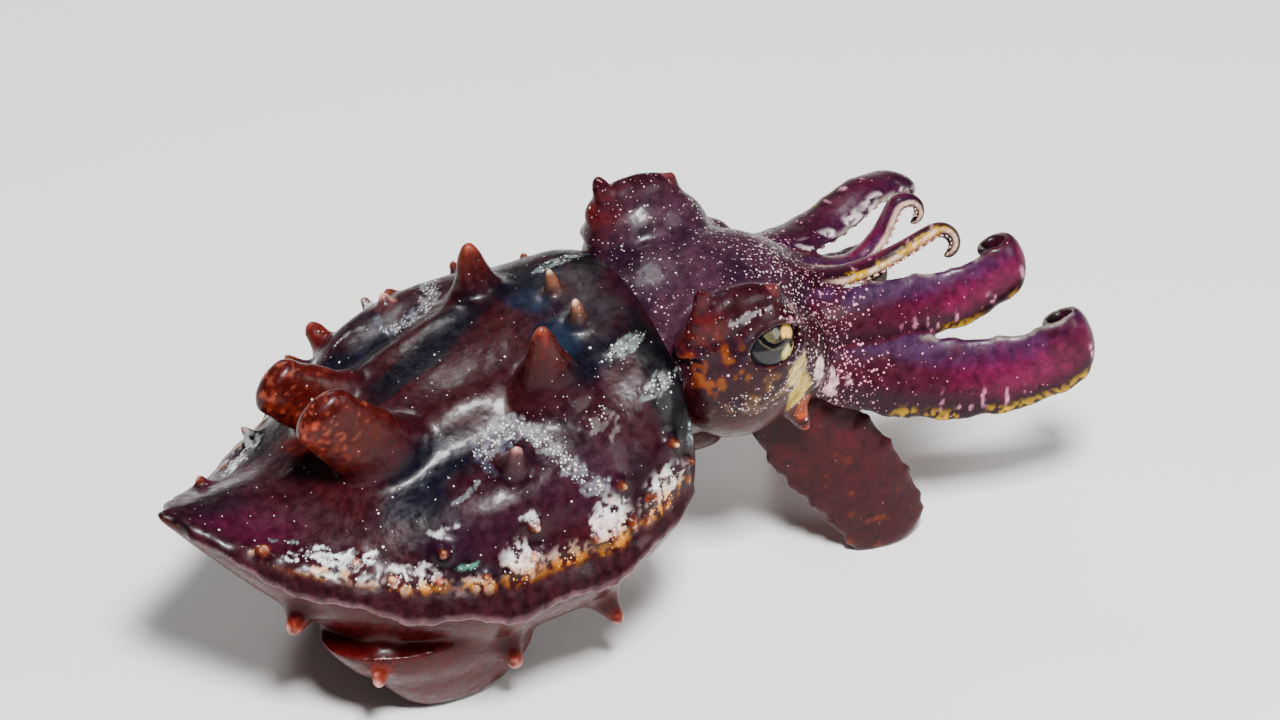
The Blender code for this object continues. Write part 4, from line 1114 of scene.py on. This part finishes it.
class Skin:
    """The corners of the skin, and where each one lies on the animal."""

    def __init__(self, net, points):
        self.net, self.points, self.fields = net, points, {}
        self.side = np.where(points[:, 1] < 0, -1.0, 1.0)
        self.place_on_shapes()
        self.place_on_mantle()
        self.grain, self.blots = self.noise(0.5, 51), self.noise(1.5, 73)

    def noise(self, size, seed=0, laid=False):
        """Noise at each corner, worked out once for each size and seed."""
        key = (size, seed, laid)
        if key not in self.fields:
            self.fields[key] = noise(self.laid if laid else self.points, size, seed)
        return self.fields[key]

    def cloud(self, size, seed):
        """Noise with finer noise on it at each corner."""
        return rough_noise(self.points, size, seed)

    def place_on_shapes(self):
        """Shares of mantle, head, arm and fin at each corner, and the place along an arm."""
        spots, facts = landmarks()
        on_arm = facts[:, 4] >= 0
        tree, arm_tree, arm_facts = search_tree(spots), search_tree(spots[on_arm]), facts[on_arm]
        count = self.net.count
        label, reach = np.empty(count, int), np.empty(count)
        self.arm, place = np.zeros(count, int), np.zeros((count, 3))
        for k, point in enumerate(self.points):
            label[k], reach[k] = facts[tree.find(point)[1], :2]
            if point[0] > ARMS_FROM:
                near = arm_tree.find_n(point, 3)
                self.arm[k] = arm_facts[near[0][1], 4]
                share = np.array([1 / (distance + 0.05) for _, _, distance in near])
                place[k] = share @ arm_facts[[found[1] for found in near], 1:4] / share.sum()
        self.out_fin = self.net.spread(reach * (label == LABELS.index("fin")), 1)
        self.along, across, self.lift = self.net.spread(place, 2).T
        right = np.array([name.endswith("right") for name in ARMS])[self.arm]
        self.low = np.where(right, across, -across)
        self.share = self.net.spread(np.eye(len(LABELS))[label], 10)

    def place_on_mantle(self):
        """Millimetres of arc above the side line at each corner, and the pattern's layout."""
        x, y, z = self.points.T
        x = np.clip(x, 0.2, MANTLE_LENGTH)
        rear = left_rear(x, y)
        side, top, deep, half, ridge = section(x)
        z = z - rolled(x, y, rear) - side
        height, power = np.where(z > 0, top, deep), np.where(z > 0, ridge, BELLY_POWER)
        lift = np.sign(z) * (np.abs(z) / np.maximum(height, 0.3)) ** (1 / power)
        half = np.maximum(half * (1 - REAR_SLIM * rear), 0.3)
        out = (np.abs(y) / half) ** (1 / SIDE_POWER)
        self.arc = np.degrees(np.arctan2(lift, out)) * ARC
        # The pattern is laid out once for both sides, with different noise on each.
        self.laid = np.stack([x, self.arc, self.side * 40], axis=1)

    def away(self, x, degrees, along, around):
        """The distance from a place on the mantle, beside the size of a patch there."""
        return np.hypot((self.points[:, 0] - x) / along, (self.arc - degrees * ARC) / around)

    def from_spot(self, spot, radii):
        """The distance from a place in space on both sides, beside the size of a patch there."""
        x, y, z = self.points.T
        offset = np.stack([x - spot[0], np.abs(y) - spot[1], z - spot[2]], axis=1)
        return np.linalg.norm(offset / np.asarray(radii, float), axis=1)

    def from_line(self, line, width):
        """The distance from a line of (x, degrees) places on the mantle, beside a width."""
        here = np.stack([self.points[:, 0], self.arc], axis=1)
        return off_path(here, np.array(line) * (1, ARC)) / width

    def torn(self, away, coarse, depth, laid=True):
        """A weight that falls from 1 to 0 where the distance passes 1, along a torn edge."""
        away = away + depth * (self.noise(coarse, 1, laid) - 0.5)
        return soft(1.12, 0.88, away + 0.6 * depth * (self.noise(0.45, 2, laid) - 0.5))

    def up_horn(self, papilla, reach=1.35):
        """How far up a horn each corner lies, from 0 at the root to 1 at the tip, and 0 off it."""
        root, tip = np.asarray(papilla.root, float), np.asarray(papilla.tip, float)
        axis = tip - root
        t = ((self.points - root) @ axis) / (axis @ axis)
        off = np.linalg.norm(self.points - root - t[:, None] * axis, axis=1)
        flare = (1 - np.clip(t, 0, 1)) ** HORN_FLARE
        wide = papilla.tip_radii[0] + (papilla.root_radii[0] - papilla.tip_radii[0]) * flare
        return np.where(t > -0.1, np.clip(t, 0, 1.1), 0) * soft(reach * 1.3, reach, off / wide)


def paint_mantle(skin):
    """The mantle's dark ground, and how thickly white flecks lie on it."""
    coat = Coat(skin.net.count, (56, 16, 29))
    coat.lay((35, 12, 32), soft(0.35, 0.7, skin.cloud(6, 21)))
    coat.lay((72, 20, 26), 0.6 * soft(0.5, 0.8, skin.cloud(8, 33)))
    coat.lay((58, 20, 25), 0.8 * soft(1.3, 0.4, skin.away(40, 78, 13, 7.5)))
    # Purple on the tail's crest: a purple tone with a painted sheen over it.
    coat.lay((76, 18, 48), 0.8 * soft(1.2, 0.3, skin.away(9, 55, 7, 8)))
    coat.lay((82, 5, 6), soft(-1, -4, skin.arc))
    uneven = skin.noise(3, 7) - 0.5
    for *place, colour, weight in MANTLE_SHADES:
        coat.lay(colour, weight * soft(1.25, 0.55, skin.away(*place) + 0.5 * uneven))
    stripe = soft(1.2, 0.5, skin.from_line(*LEFT_STRIPE) + 0.6 * uneven)
    coat.lay((12, 14, 30), 0.9 * stripe * (skin.side > 0))
    coat.flecks = 0.07 + 0.14 * soft(0.5, 0.75, skin.cloud(5, 41))
    coat.flecks = coat.flecks + 0.4 * soft(1.2, 0.2, skin.away(47, 55, 8, 5))
    coat.flecks = coat.flecks * soft(-4, 0, skin.arc)
    return coat


def paint_patches(skin, coat):
    """White and grey patches, streaks and the bright line of tufts along the fin."""
    x, arc = skin.points[:, 0], skin.arc
    grain = 0.2 + 0.8 * soft(0.3, 0.5, skin.grain)
    for *place, colour, weight, depth in MANTLE_PATCHES:
        away = skin.away(*place)
        coat.lay(colour, weight * grain * skin.torn(away, 1.1, depth))
        coat.flecks += weight * 1.1 * soft(1.5, 0.5, away + 0.5 * (skin.blots - 0.5))
    for line, width, colour, weight in MANTLE_STREAKS:
        away = skin.from_line(line, width)
        coat.lay(colour, weight * grain * skin.torn(away, 0.9, 1.1))
        coat.flecks += weight * 0.9 * soft(1.4, 0.4, away)
    strand = np.stack([x / 0.5, arc / 1.7, skin.side * 9], axis=1)
    strands = soft(0.5, 0.58, noise(strand, 1.0, 71) * 0.6 + skin.noise(0.45, 2) * 0.4)
    gold, cream, snow = (rgb(*colour) for colour in TUFT_COLOURS)
    bright = gold + (cream - gold) * soft(0.8, 3.0, arc + 1.6 * (skin.blots - 0.5))[:, None]
    bright = bright + (snow - bright) * soft(2.8, 4.6, arc)[:, None]
    for *place, amount in TUFTS:
        there = soft(1.2, 0.4, skin.away(*place))
        coat.lay((104, 44, 16), 0.6 * there * soft(1.8, 0.2, arc))
        coat.lay(bright, 1.1 * amount * there * strands)
        coat.flecks += 0.6 * there
    rim = soft(1.8, 0.4, np.abs(arc - 0.8)) * (x < 59)
    coat.lay((158, 106, 34), 0.7 * rim * soft(0.62, 0.74, skin.noise(0.9, 81)))


def paint_horns(skin, coat):
    """The horns of the mantle: warm lobes with spotted rims that carry a painted highlight, orange
    horns and pale small ones.
    """
    mottle, fine, grain = skin.cloud(1.6, 91), skin.noise(0.8, 93), skin.grain
    for lobe in LOBES:
        up = skin.up_horn(lobe, 1.5)
        root, axis = np.array(lobe.root), np.array(lobe.tip) - np.array(lobe.root)
        behind = unit(np.cross(axis, Y))
        behind = behind if behind[0] < 0 else -behind
        back = (skin.points - root - axis * np.clip(up, 0, 1)[:, None]) @ behind / 4.5
        warm = soft(0.3, 0.9, up) * soft(-0.5, 0.8, back)
        # The lobe's end: pale spots, with a painted highlight along its rim.
        rim = soft(0.92, 1.06, up + 0.1 * (fine - 0.5))
        coat.lay((78, 22, 19), soft(0.1, 0.6, up))
        coat.lay((132, 46, 14), 0.75 * warm * soft(0.4, 0.6, 0.5 * mottle + 0.5 * grain))
        coat.lay((186, 106, 84), 0.6 * rim * soft(0.45, 0.62, grain))
        coat.lay((190, 112, 84), 0.3 * soft(0.68, 0.8, grain) * soft(0.4, 0.8, up))
        coat.flecks = coat.flecks * (1 - 0.6 * soft(0.1, 0.5, up)) + 0.3 * rim
    for side in SIDES:
        for papilla, colour, tip in zip(BACK_HORNS, BACK_HORN_COLOURS, BACK_HORN_TIPS):
            up = skin.up_horn(mirrored_papilla(papilla, side))
            coat.lay(colour, 0.9 * soft(0.35, 0.85, up + 0.3 * (mottle - 0.5)))
            coat.lay(tip, soft(0.8, 1.04, up + 0.2 * (fine - 0.5)))
    for papilla in LEFT_HORNS:
        up = skin.up_horn(papilla)
        coat.lay((100, 32, 26), 0.9 * soft(0.3, 0.8, up))
        coat.lay((182, 110, 92), 0.7 * soft(0.85, 1.05, up))
    for papilla in small_horns("left") + small_horns("right") + knobs():
        up = skin.up_horn(papilla, 1.2)
        colour, tip = BELLY_HORN_COLOURS if papilla.root[2] < BELLY_BELOW else SIDE_HORN_COLOURS
        coat.lay(colour, 0.8 * soft(0.45, 0.85, up) * (0.4 + 0.6 * grain))
        coat.lay(tip, soft(0.8, 1.0, up + 0.25 * (grain - 0.5)))


def paint_fin(skin):
    """The fins: thin mauve skin with fine rays and a paler edge."""
    x = skin.points[:, 0]
    rays = noise(np.stack([x / 0.5, skin.side * 9, x * 0], axis=1), 1.0, 75)
    coat = Coat(skin.net.count, (48, 16, 25))
    coat.lay((68, 28, 38), 0.6 * soft(0.35, 0.65, rays))
    coat.lay((150, 118, 122), 0.7 * soft(0.84, 1.0, skin.out_fin))
    return coat


def paint_head(skin):
    """The head: maroon, orange behind the eyes and dark mauve above."""
    x, y, z = skin.points.T
    coat = Coat(skin.net.count, (56, 14, 25))
    coat.lay((74, 46, 62), soft(31, 40, z) * soft(13, 8, np.abs(y)))
    coat.lay((42, 24, 42), 0.8 * soft(0.45, 0.7, skin.cloud(5, 101)))
    coat.lay((76, 5, 8), soft(31, 27.5, z) * soft(78, 74, x))
    mottle = 0.5 * skin.cloud(1.5, 103) + 0.5 * skin.noise(0.7, 72)
    for spot, radii, colour, weight, low, high in HEAD_MOTTLES:
        there = soft(1.25, 0.4, skin.from_spot(spot, radii) + 0.3 * (skin.noise(2, 104) - 0.5))
        coat.lay(colour, weight * there * soft(low, high, mottle))
    flecks = (0.16 + 0.3 * soft(30, 38, z) + 0.35 * soft(70, 79, x)) * soft(26, 30, z)
    coat.flecks = flecks + 0.5 * soft(1.3, 0.3, skin.from_spot((67.5, 15.6, 31.5), (5, 5, 2.6)))
    for side in SIDES:
        for papilla, tip in zip(HEAD_HORNS, HEAD_HORN_TIPS):
            up = skin.up_horn(mirrored_papilla(papilla, side))
            coat.lay(tip, 0.85 * soft(0.7, 1.04, up + 0.25 * (skin.grain - 0.5)))
    return coat


def paint_face(skin, coat):
    """Torn patches before and above the eyes, over the head and the roots of the arms."""
    for spot, radii, colour, weight, depth in HEAD_PATCHES:
        away = skin.from_spot(spot, radii)
        there = skin.torn(away, 0.9, depth, False)
        coat.lay(colour, weight * there * (0.6 + 0.4 * skin.grain))
        coat.flecks += 0.4 * weight * soft(2.0, 0.8, away)


def paint_arms(skin):
    """The arms: magenta outside with pink dots, gold along the lower edge, pale inside."""
    s, low, lift, grain, blots = skin.along, skin.low, skin.lift, skin.grain, skin.blots
    first, banded, paddle = skin.arm < 2, skin.arm == 3, skin.arm >= 6
    cloud, row = skin.cloud(3.5, 111), skin.arm * 5.0

    def pattern(seed, *place):
        return noise(np.stack(place, axis=1), 1.0, seed)

    coat = Coat(skin.net.count, (72, 24, 42))
    coat.lay((100, 20, 60), soft(0.25, 0.55, s) * soft(0.35, 0.6, cloud))
    coat.lay((70, 44, 78), 0.8 * soft(0.1, 0.6, -low) * soft(0.3, 0.6, cloud))
    coat.lay((42, 12, 30), 0.85 * soft(0.15, 0.7, low))
    bands = 0.5 + 0.5 * np.sin(s * 120 + 2 * cloud)
    middle = soft(0.4, 0.6, s) * soft(0.8, 0.2, np.abs(low + 0.1))
    coat.lay((132, 26, 84), 0.4 * middle * (0.3 + 0.7 * bands))
    coat.lay((58, 16, 42), 0.6 * banded)
    coat.lay((66, 17, 24), 0.95 * paddle)
    coat.lay((88, 26, 34), 0.6 * paddle * soft(0.45, 0.7, cloud))
    coat.lay((30, 10, 20), soft(0.74, 0.96, s) * ~paddle)
    # The sucker face, and the pale edges of the first pair.
    inside = soft(-0.25, -0.6, lift) * soft(0.86, 0.74, s)
    coat.lay((134, 72, 78), inside * 0.9)
    edge = soft(0.8, 0.95, np.abs(low)) * soft(0.2, 0.35, s)
    coat.lay((226, 196, 172), 0.9 * first * edge)
    coat.lay((196, 106, 60), inside * first * soft(0.4, 0.6, blots))
    coat.lay((206, 156, 50), inside * first * soft(0.3, 0.8, low))
    # The grey upper edge and the gold tufts of the lower one.
    upper = soft(-0.84, -0.96, low) * soft(0.2, 0.4, s) * ~paddle
    coat.lay((150, 146, 134), 0.75 * upper * soft(0.35, 0.6, blots))
    tufts = soft(0.6, 0.85, low) * soft(0.26, 0.36, s) * soft(0.9, 0.8, s) * ~paddle
    gaps = soft(0.36, 0.5, pattern(115, s * 18, s * 0, row))
    grains = soft(0.42, 0.55, skin.noise(0.45, 2))
    coat.lay((190, 156, 14), tufts * gaps * grains * (s < 0.92))
    # Pink dashes, white bars on one arm and gold spots on the paddles.
    dashes = soft(0.66, 0.74, pattern(117, s * 70, low * 1.2, row)) * soft(0.1, 0.4, low)
    dashes = dashes * soft(0.8, 0.6, low) * soft(0.4, 0.6, grain) * (lift > -0.2) * ~paddle
    coat.lay((214, 150, 176), 0.8 * dashes * soft(0.3, 0.5, s))
    bars = soft(0.55, 0.65, pattern(118, s * 16, low, lift)) * soft(-0.5, -0.85, low) * banded
    bars = bars * soft(0.35, 0.55, grain)
    coat.lay((216, 206, 204), bars * soft(0.2, 0.35, s) * soft(0.95, 0.85, s))
    spots = paddle * soft(0.72, 0.86, blots) * soft(0.2, 0.9, s)
    coat.lay((138, 72, 10), 0.6 * spots * soft(0.35, 0.6, grain))
    coat.flecks = (0.75 * soft(0.5, 0.1, s) + 0.08) * np.where(paddle, 0.2, 1)
    coat.flecks = coat.flecks * soft(-0.5, 0.0, lift)
    return coat


def painted(skin):
    """The tint of every corner, and the colour and density of the flecks there."""
    mantle = paint_mantle(skin)
    paint_patches(skin, mantle)
    paint_horns(skin, mantle)
    coats = (mantle, paint_head(skin), paint_arms(skin), paint_fin(skin))
    whole = Coat(skin.net.count, (0, 0, 0))
    for coat, share in zip(coats, skin.share.T):
        whole.tint += coat.tint * share[:, None]
        whole.flecks += coat.flecks * share
    paint_face(skin, whole)
    tint = whole.tint**TINT_POWER * (0.75 + 0.5 * skin.grain)[:, None]
    on_mantle, on_head, on_arm, _ = skin.share.T
    pink = np.clip(on_arm + 0.4 * on_head, 0, 1)[:, None]
    fleck = rgb(*WHITE_FLECK) * (1 - pink) + rgb(*PINK_FLECK) * pink
    gold = (soft(2.6, 0.8, skin.arc) * on_mantle)[:, None]
    fleck = fleck * (1 - gold) + rgb(*GOLD_FLECK) * gold
    return np.clip(tint, 0.002, 0.9), fleck, np.clip(whole.flecks, 0, 1)


# Materials


class Graph:
    """A material, and short ways to add nodes to it. Sizes are in millimetres."""

    def __init__(self, name):
        self.look = bpy.data.materials.new(name)
        self.look.use_nodes = True
        self.tree = self.look.node_tree
        self.shader = self.tree.nodes["Principled BSDF"]
        self.place = self.add("ShaderNodeTexCoord").outputs["Object"]

    def add(self, kind, *values, **named):
        """A node of a kind. Values go to its inputs in turn.

        A name in small letters is one of its settings, and any other is one of its inputs.
        """
        node = self.tree.nodes.new(kind)
        for name, value in named.items():
            if name.islower():
                setattr(node, name, value)
            else:
                self.put(node.inputs[name], value)
        for socket, value in zip(node.inputs, values):
            self.put(socket, value)
        return node

    def put(self, socket, value):
        """Sets a socket, or links another node's output to it."""
        if isinstance(value, bpy.types.NodeSocket):
            self.tree.links.new(value, socket)
        else:
            socket.default_value = value

    def sum(self, operation, *values):
        """The result of a Math node."""
        return self.add("ShaderNodeMath", *values, operation=operation).outputs[0]

    def between(self, value, low, high, start=0.0, end=1.0):
        """A value from low to high as start to end, clamped and smooth."""
        values = (value, low, high, start, end)
        return self.add("ShaderNodeMapRange", *values, interpolation_type="SMOOTHSTEP").outputs[0]

    def mix(self, share, first, second, blend="MIX"):
        """Two colours mixed by a share."""
        node = self.add("ShaderNodeMix", data_type="RGBA", blend_type=blend)
        sockets = {socket.identifier: socket for socket in (*node.inputs, *node.outputs)}
        for name, value in (("Factor_Float", share), ("A_Color", first), ("B_Color", second)):
            self.put(sockets[name], value)
        return sockets["Result_Color"]

    def shaded(self, colour, grey):
        """A colour times a grey value."""
        grey = self.add("ShaderNodeCombineColor", Red=grey, Green=grey, Blue=grey).outputs[0]
        return self.mix(1.0, colour, grey, "MULTIPLY")

    def cells(self, size, part="Distance"):
        """Distances or colours of cells of a size."""
        node = self.add("ShaderNodeTexVoronoi", Vector=self.place, Scale=1 / (size * MM))
        return node.outputs[part]

    def cloud(self, size, detail):
        """Noise of a size."""
        values = {"Vector": self.place, "Scale": 1 / (size * MM), "Detail": detail}
        return self.add("ShaderNodeTexNoise", **values).outputs[0]

    def specks(self, size, radius, chance):
        """Round specks, at most of a radius, in cells of a size. Each is kept by a chance."""
        draw = self.add("ShaderNodeSeparateColor", Color=self.cells(size, "Color"))
        kept = self.sum("LESS_THAN", draw.outputs[0], chance)
        share = radius / size
        reach = self.sum("MULTIPLY_ADD", draw.outputs[1], 0.65 * share, 0.35 * share)
        dot = self.between(self.cells(size), reach, self.sum("MULTIPLY", reach, 0.6))
        return self.sum("MULTIPLY", dot, kept)

    def attribute(self, name):
        """A painted value of the mesh."""
        return self.add("ShaderNodeAttribute", attribute_name=name)

    def bump(self, height, distance, strength, **normal):
        """A bump from a height, over another one where it is given."""
        named = {"Height": height, "Distance": distance * MM, "Strength": strength, **normal}
        return self.add("ShaderNodeBump", **named).outputs[0]

    def finished(self, colour, roughness, normal, settings=()):
        """The material, with the shader's main inputs linked and its settings made."""
        linked = (("Base Color", colour), ("Roughness", roughness), ("Normal", normal))
        for name, value in (*linked, *settings):
            self.put(self.shader.inputs[name], value)
        return self.look


def skin_look():
    """Wet skin: the painted tint with fine pigment dots, bright flecks and small granules."""
    graph = Graph("skin")
    fleck = graph.attribute("fleck")
    chance = fleck.outputs["Alpha"]
    wobble = graph.cloud(1.1, 2)
    pores = graph.sum("MULTIPLY", graph.between(graph.cells(0.42), 0.16, 0.42), 0.34)
    dark = graph.mix(pores, (1, 1, 1, 1), PORE_TINT)
    colour = graph.mix(1.0, graph.attribute("tint").outputs["Color"], dark, "MULTIPLY")
    colour = graph.shaded(colour, graph.between(wobble, 0.3, 0.7, 0.78, 1.2))
    large = graph.specks(1.05, 0.2, graph.sum("MULTIPLY", chance, 0.75))
    fine = graph.sum("MULTIPLY", graph.specks(0.46, 0.11, chance), 0.8)
    dust = graph.specks(0.38, 0.2, graph.sum("MULTIPLY_ADD", chance, 1.9, -0.85))
    bright = graph.sum("MAXIMUM", large, fine)
    bright = graph.sum("MAXIMUM", bright, graph.sum("MULTIPLY", dust, 0.85))
    colour = graph.mix(bright, colour, fleck.outputs["Color"])
    granules = graph.bump(graph.cells(0.6), 0.03, 0.5)
    raised = graph.bump(bright, 0.05, 0.6, Normal=granules)
    folds = graph.bump(graph.cloud(2.2, 3), 0.1, 0.5, Normal=raised)
    return graph.finished(colour, graph.between(wobble, 0.3, 0.7, 0.26, 0.42), folds, SKIN_SHADER)


def sucker_look():
    """Pale half-clear suckers with a darker cup."""
    graph = Graph("sucker")
    shade = graph.between(graph.cloud(0.8, 2), 0.35, 0.65)
    colour = graph.mix(shade, (*rgb(186, 128, 128), 1), (*rgb(214, 176, 160), 1))
    bumps = graph.bump(graph.cloud(0.4, 2), 0.05, 0.5)
    return graph.finished(colour, graph.between(shade, 0, 1, 0.28, 0.4), bumps, SUCKER_SHADER)


def eye_look():
    """A wet eye: the painted iris and pupil under a clear glossy coat."""
    graph = Graph("eye")
    grain = graph.between(graph.cloud(0.3, 3), 0.3, 0.7, 0.75, 1.2)
    colour = graph.shaded(graph.attribute("tint").outputs["Color"], grain)
    roughness = graph.between(graph.cloud(1.0, 2), 0, 1, 0.12, 0.2)
    return graph.finished(colour, roughness, graph.bump(graph.cloud(0.8, 2), 0.01, 0.3), EYE_SHADER)


def beak_look():
    """Dark horn that is paler and rougher at its root."""
    graph = Graph("beak")
    shade = graph.between(graph.cloud(0.7, 3), 0.35, 0.65)
    colour = graph.mix(shade, (*rgb(34, 18, 12), 1), (*rgb(84, 50, 30), 1))
    bumps = graph.bump(graph.cloud(0.25, 2), 0.02, 0.4)
    return graph.finished(colour, graph.between(shade, 0, 1, 0.2, 0.4), bumps)


def store(mesh, name, values):
    """Keeps a colour at each corner of a mesh."""
    layer = mesh.attributes.new(name, "FLOAT_COLOR", "POINT")
    four = np.ones((len(values), 4), np.float32)
    four[:, : values.shape[1]] = values
    layer.data.foreach_set("color", four.ravel())


def eyeball(side):
    """An eyeball with its iris and pupil painted at its corners, dense at the front."""
    centre, outward, forward, upward = eye_frame(side)
    rings = []
    for tilt in math.pi * np.linspace(0.004, 0.996, EYE_ROWS) ** 1.5:
        spokes = oval(EYE_AROUND, forward, upward) * math.sin(tilt)
        rings.append(centre + EYE_RADIUS * (outward * math.cos(tilt) + spokes))
    made = loft(f"eyeball_{side}", rings)
    offset = np.concatenate(rings) - centre
    u, v, front = offset @ forward, offset @ upward, soft(0.0, 1.5, offset @ outward)
    coat = Coat(len(u), (26, 16, 20))
    streaks = noise(np.stack([u * 0.5, v * 2.2, u * 0], axis=1), 0.5, 131)
    coat.lay((22, 24, 28), front * (0.4 + 0.6 * streaks))
    for streaked, colour, ahead, above, long, high, none, full in IRIS_PATCHES:
        there = soft(none, full, np.hypot((u - ahead) / long, (v - above) / high))
        coat.lay(colour, front * there * (streaks if streaked else 1))
    nearest = off_path(np.stack([u, v], axis=1), np.array(PUPIL))
    coat.lay((88, 80, 60), front * 0.5 * soft(0.5, 0.42, nearest))
    uneven = noise(np.stack([u, v, u * 0], axis=1), 0.5, 132) - 0.5
    coat.lay((6, 6, 10), soft(0.34, 0.24, nearest + 0.06 * uneven))
    store(made.data, "tint", np.clip(coat.tint, 0, 1))
    return made


# Scene


def piece(made, name, nodes, look):
    """Names a piece, gives it its material and slot, and puts it in place of its solids."""
    made.name = name
    made.data.materials.clear()
    made.data.materials.append(look)
    made.data.shade_smooth()
    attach(made, "root")
    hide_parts(*nodes)


def floor():
    """A plain pale floor."""
    x, y, half = FLOOR_SQUARE
    corners = [(x + i * half, y + j * half, 0) for i, j in ((-1, -1), (1, -1), (1, 1), (-1, 1))]
    made = mesh_object("floor", corners, [(0, 1, 2, 3)])
    look = bpy.data.materials.new("floor")
    look.use_nodes = True
    shader = look.node_tree.nodes["Principled BSDF"]
    shader.inputs["Base Color"].default_value = (*FLOOR_COLOUR, 1)
    shader.inputs["Roughness"].default_value = 0.9
    made.data.materials.append(look)


def aimed(name, seen, place, away):
    """An object for a lamp or camera, at a place in metres, that looks against a direction."""
    made = bpy.data.objects.new(name, seen)
    made.location = place
    made.rotation_mode = "QUATERNION"
    made.rotation_quaternion = Vector(away).to_track_quat("Z", "Y")
    bpy.context.scene.collection.objects.link(made)
    return made


def lights():
    """Soft square lamps, placed and aimed in millimetres, and an even pale light all round."""
    for name, place, size, power in LAMPS:
        light = bpy.data.lights.new(name, "AREA")
        light.shape = "SQUARE"
        light.size = size * MM
        light.energy = power
        aimed(name, light, np.array(place) * MM + SHIFT, Vector(place) - Vector(LAMP_AIM))
    world = bpy.data.worlds.new("sky")
    world.use_nodes = True
    world.node_tree.nodes["Background"].inputs["Color"].default_value = (1, 1, 1, 1)
    world.node_tree.nodes["Background"].inputs["Strength"].default_value = SKY_STRENGTH
    bpy.context.scene.world = world


def camera():
    """The camera at the photograph's angle, far off with a long lens."""
    turn, rise = map(math.radians, CAMERA_ANGLES)
    level = math.cos(rise)
    back = Vector((math.sin(turn) * level, -math.cos(turn) * level, math.sin(rise)))
    seen = bpy.data.cameras.new("camera")
    seen.lens, seen.sensor_width = CAMERA_LENS, CAMERA_SENSOR
    seen.clip_start, seen.clip_end = CAMERA_CLIP
    place = Vector(np.array(CAMERA_TARGET) * MM + SHIFT) + back * CAMERA_DISTANCE * MM
    bpy.context.scene.camera = aimed("camera", seen, place, back)


def main():
    """Makes every piece, then the floor, the lights and the camera."""
    body = remeshed(whole_body())
    net = Net(body.data)
    points = wrinkled(net, rounded(net))
    tint, fleck, density = painted(Skin(net, points))
    store(body.data, "tint", tint)
    store(body.data, "fleck", np.concatenate([fleck, density[:, None]], axis=1))
    flesh = [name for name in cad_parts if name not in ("beak", "eye_left", "eye_right")]
    piece(body, "skin", flesh, skin_look())
    piece(suckers(), "suckers", [], sucker_look())
    piece(beak(), "beak_tip", ["beak"], beak_look())
    look = eye_look()
    for side in SIDES:
        piece(eyeball(side), f"eyeball_{side}", [f"eye_{side}"], look)
    floor()
    lights()
    camera()


main()
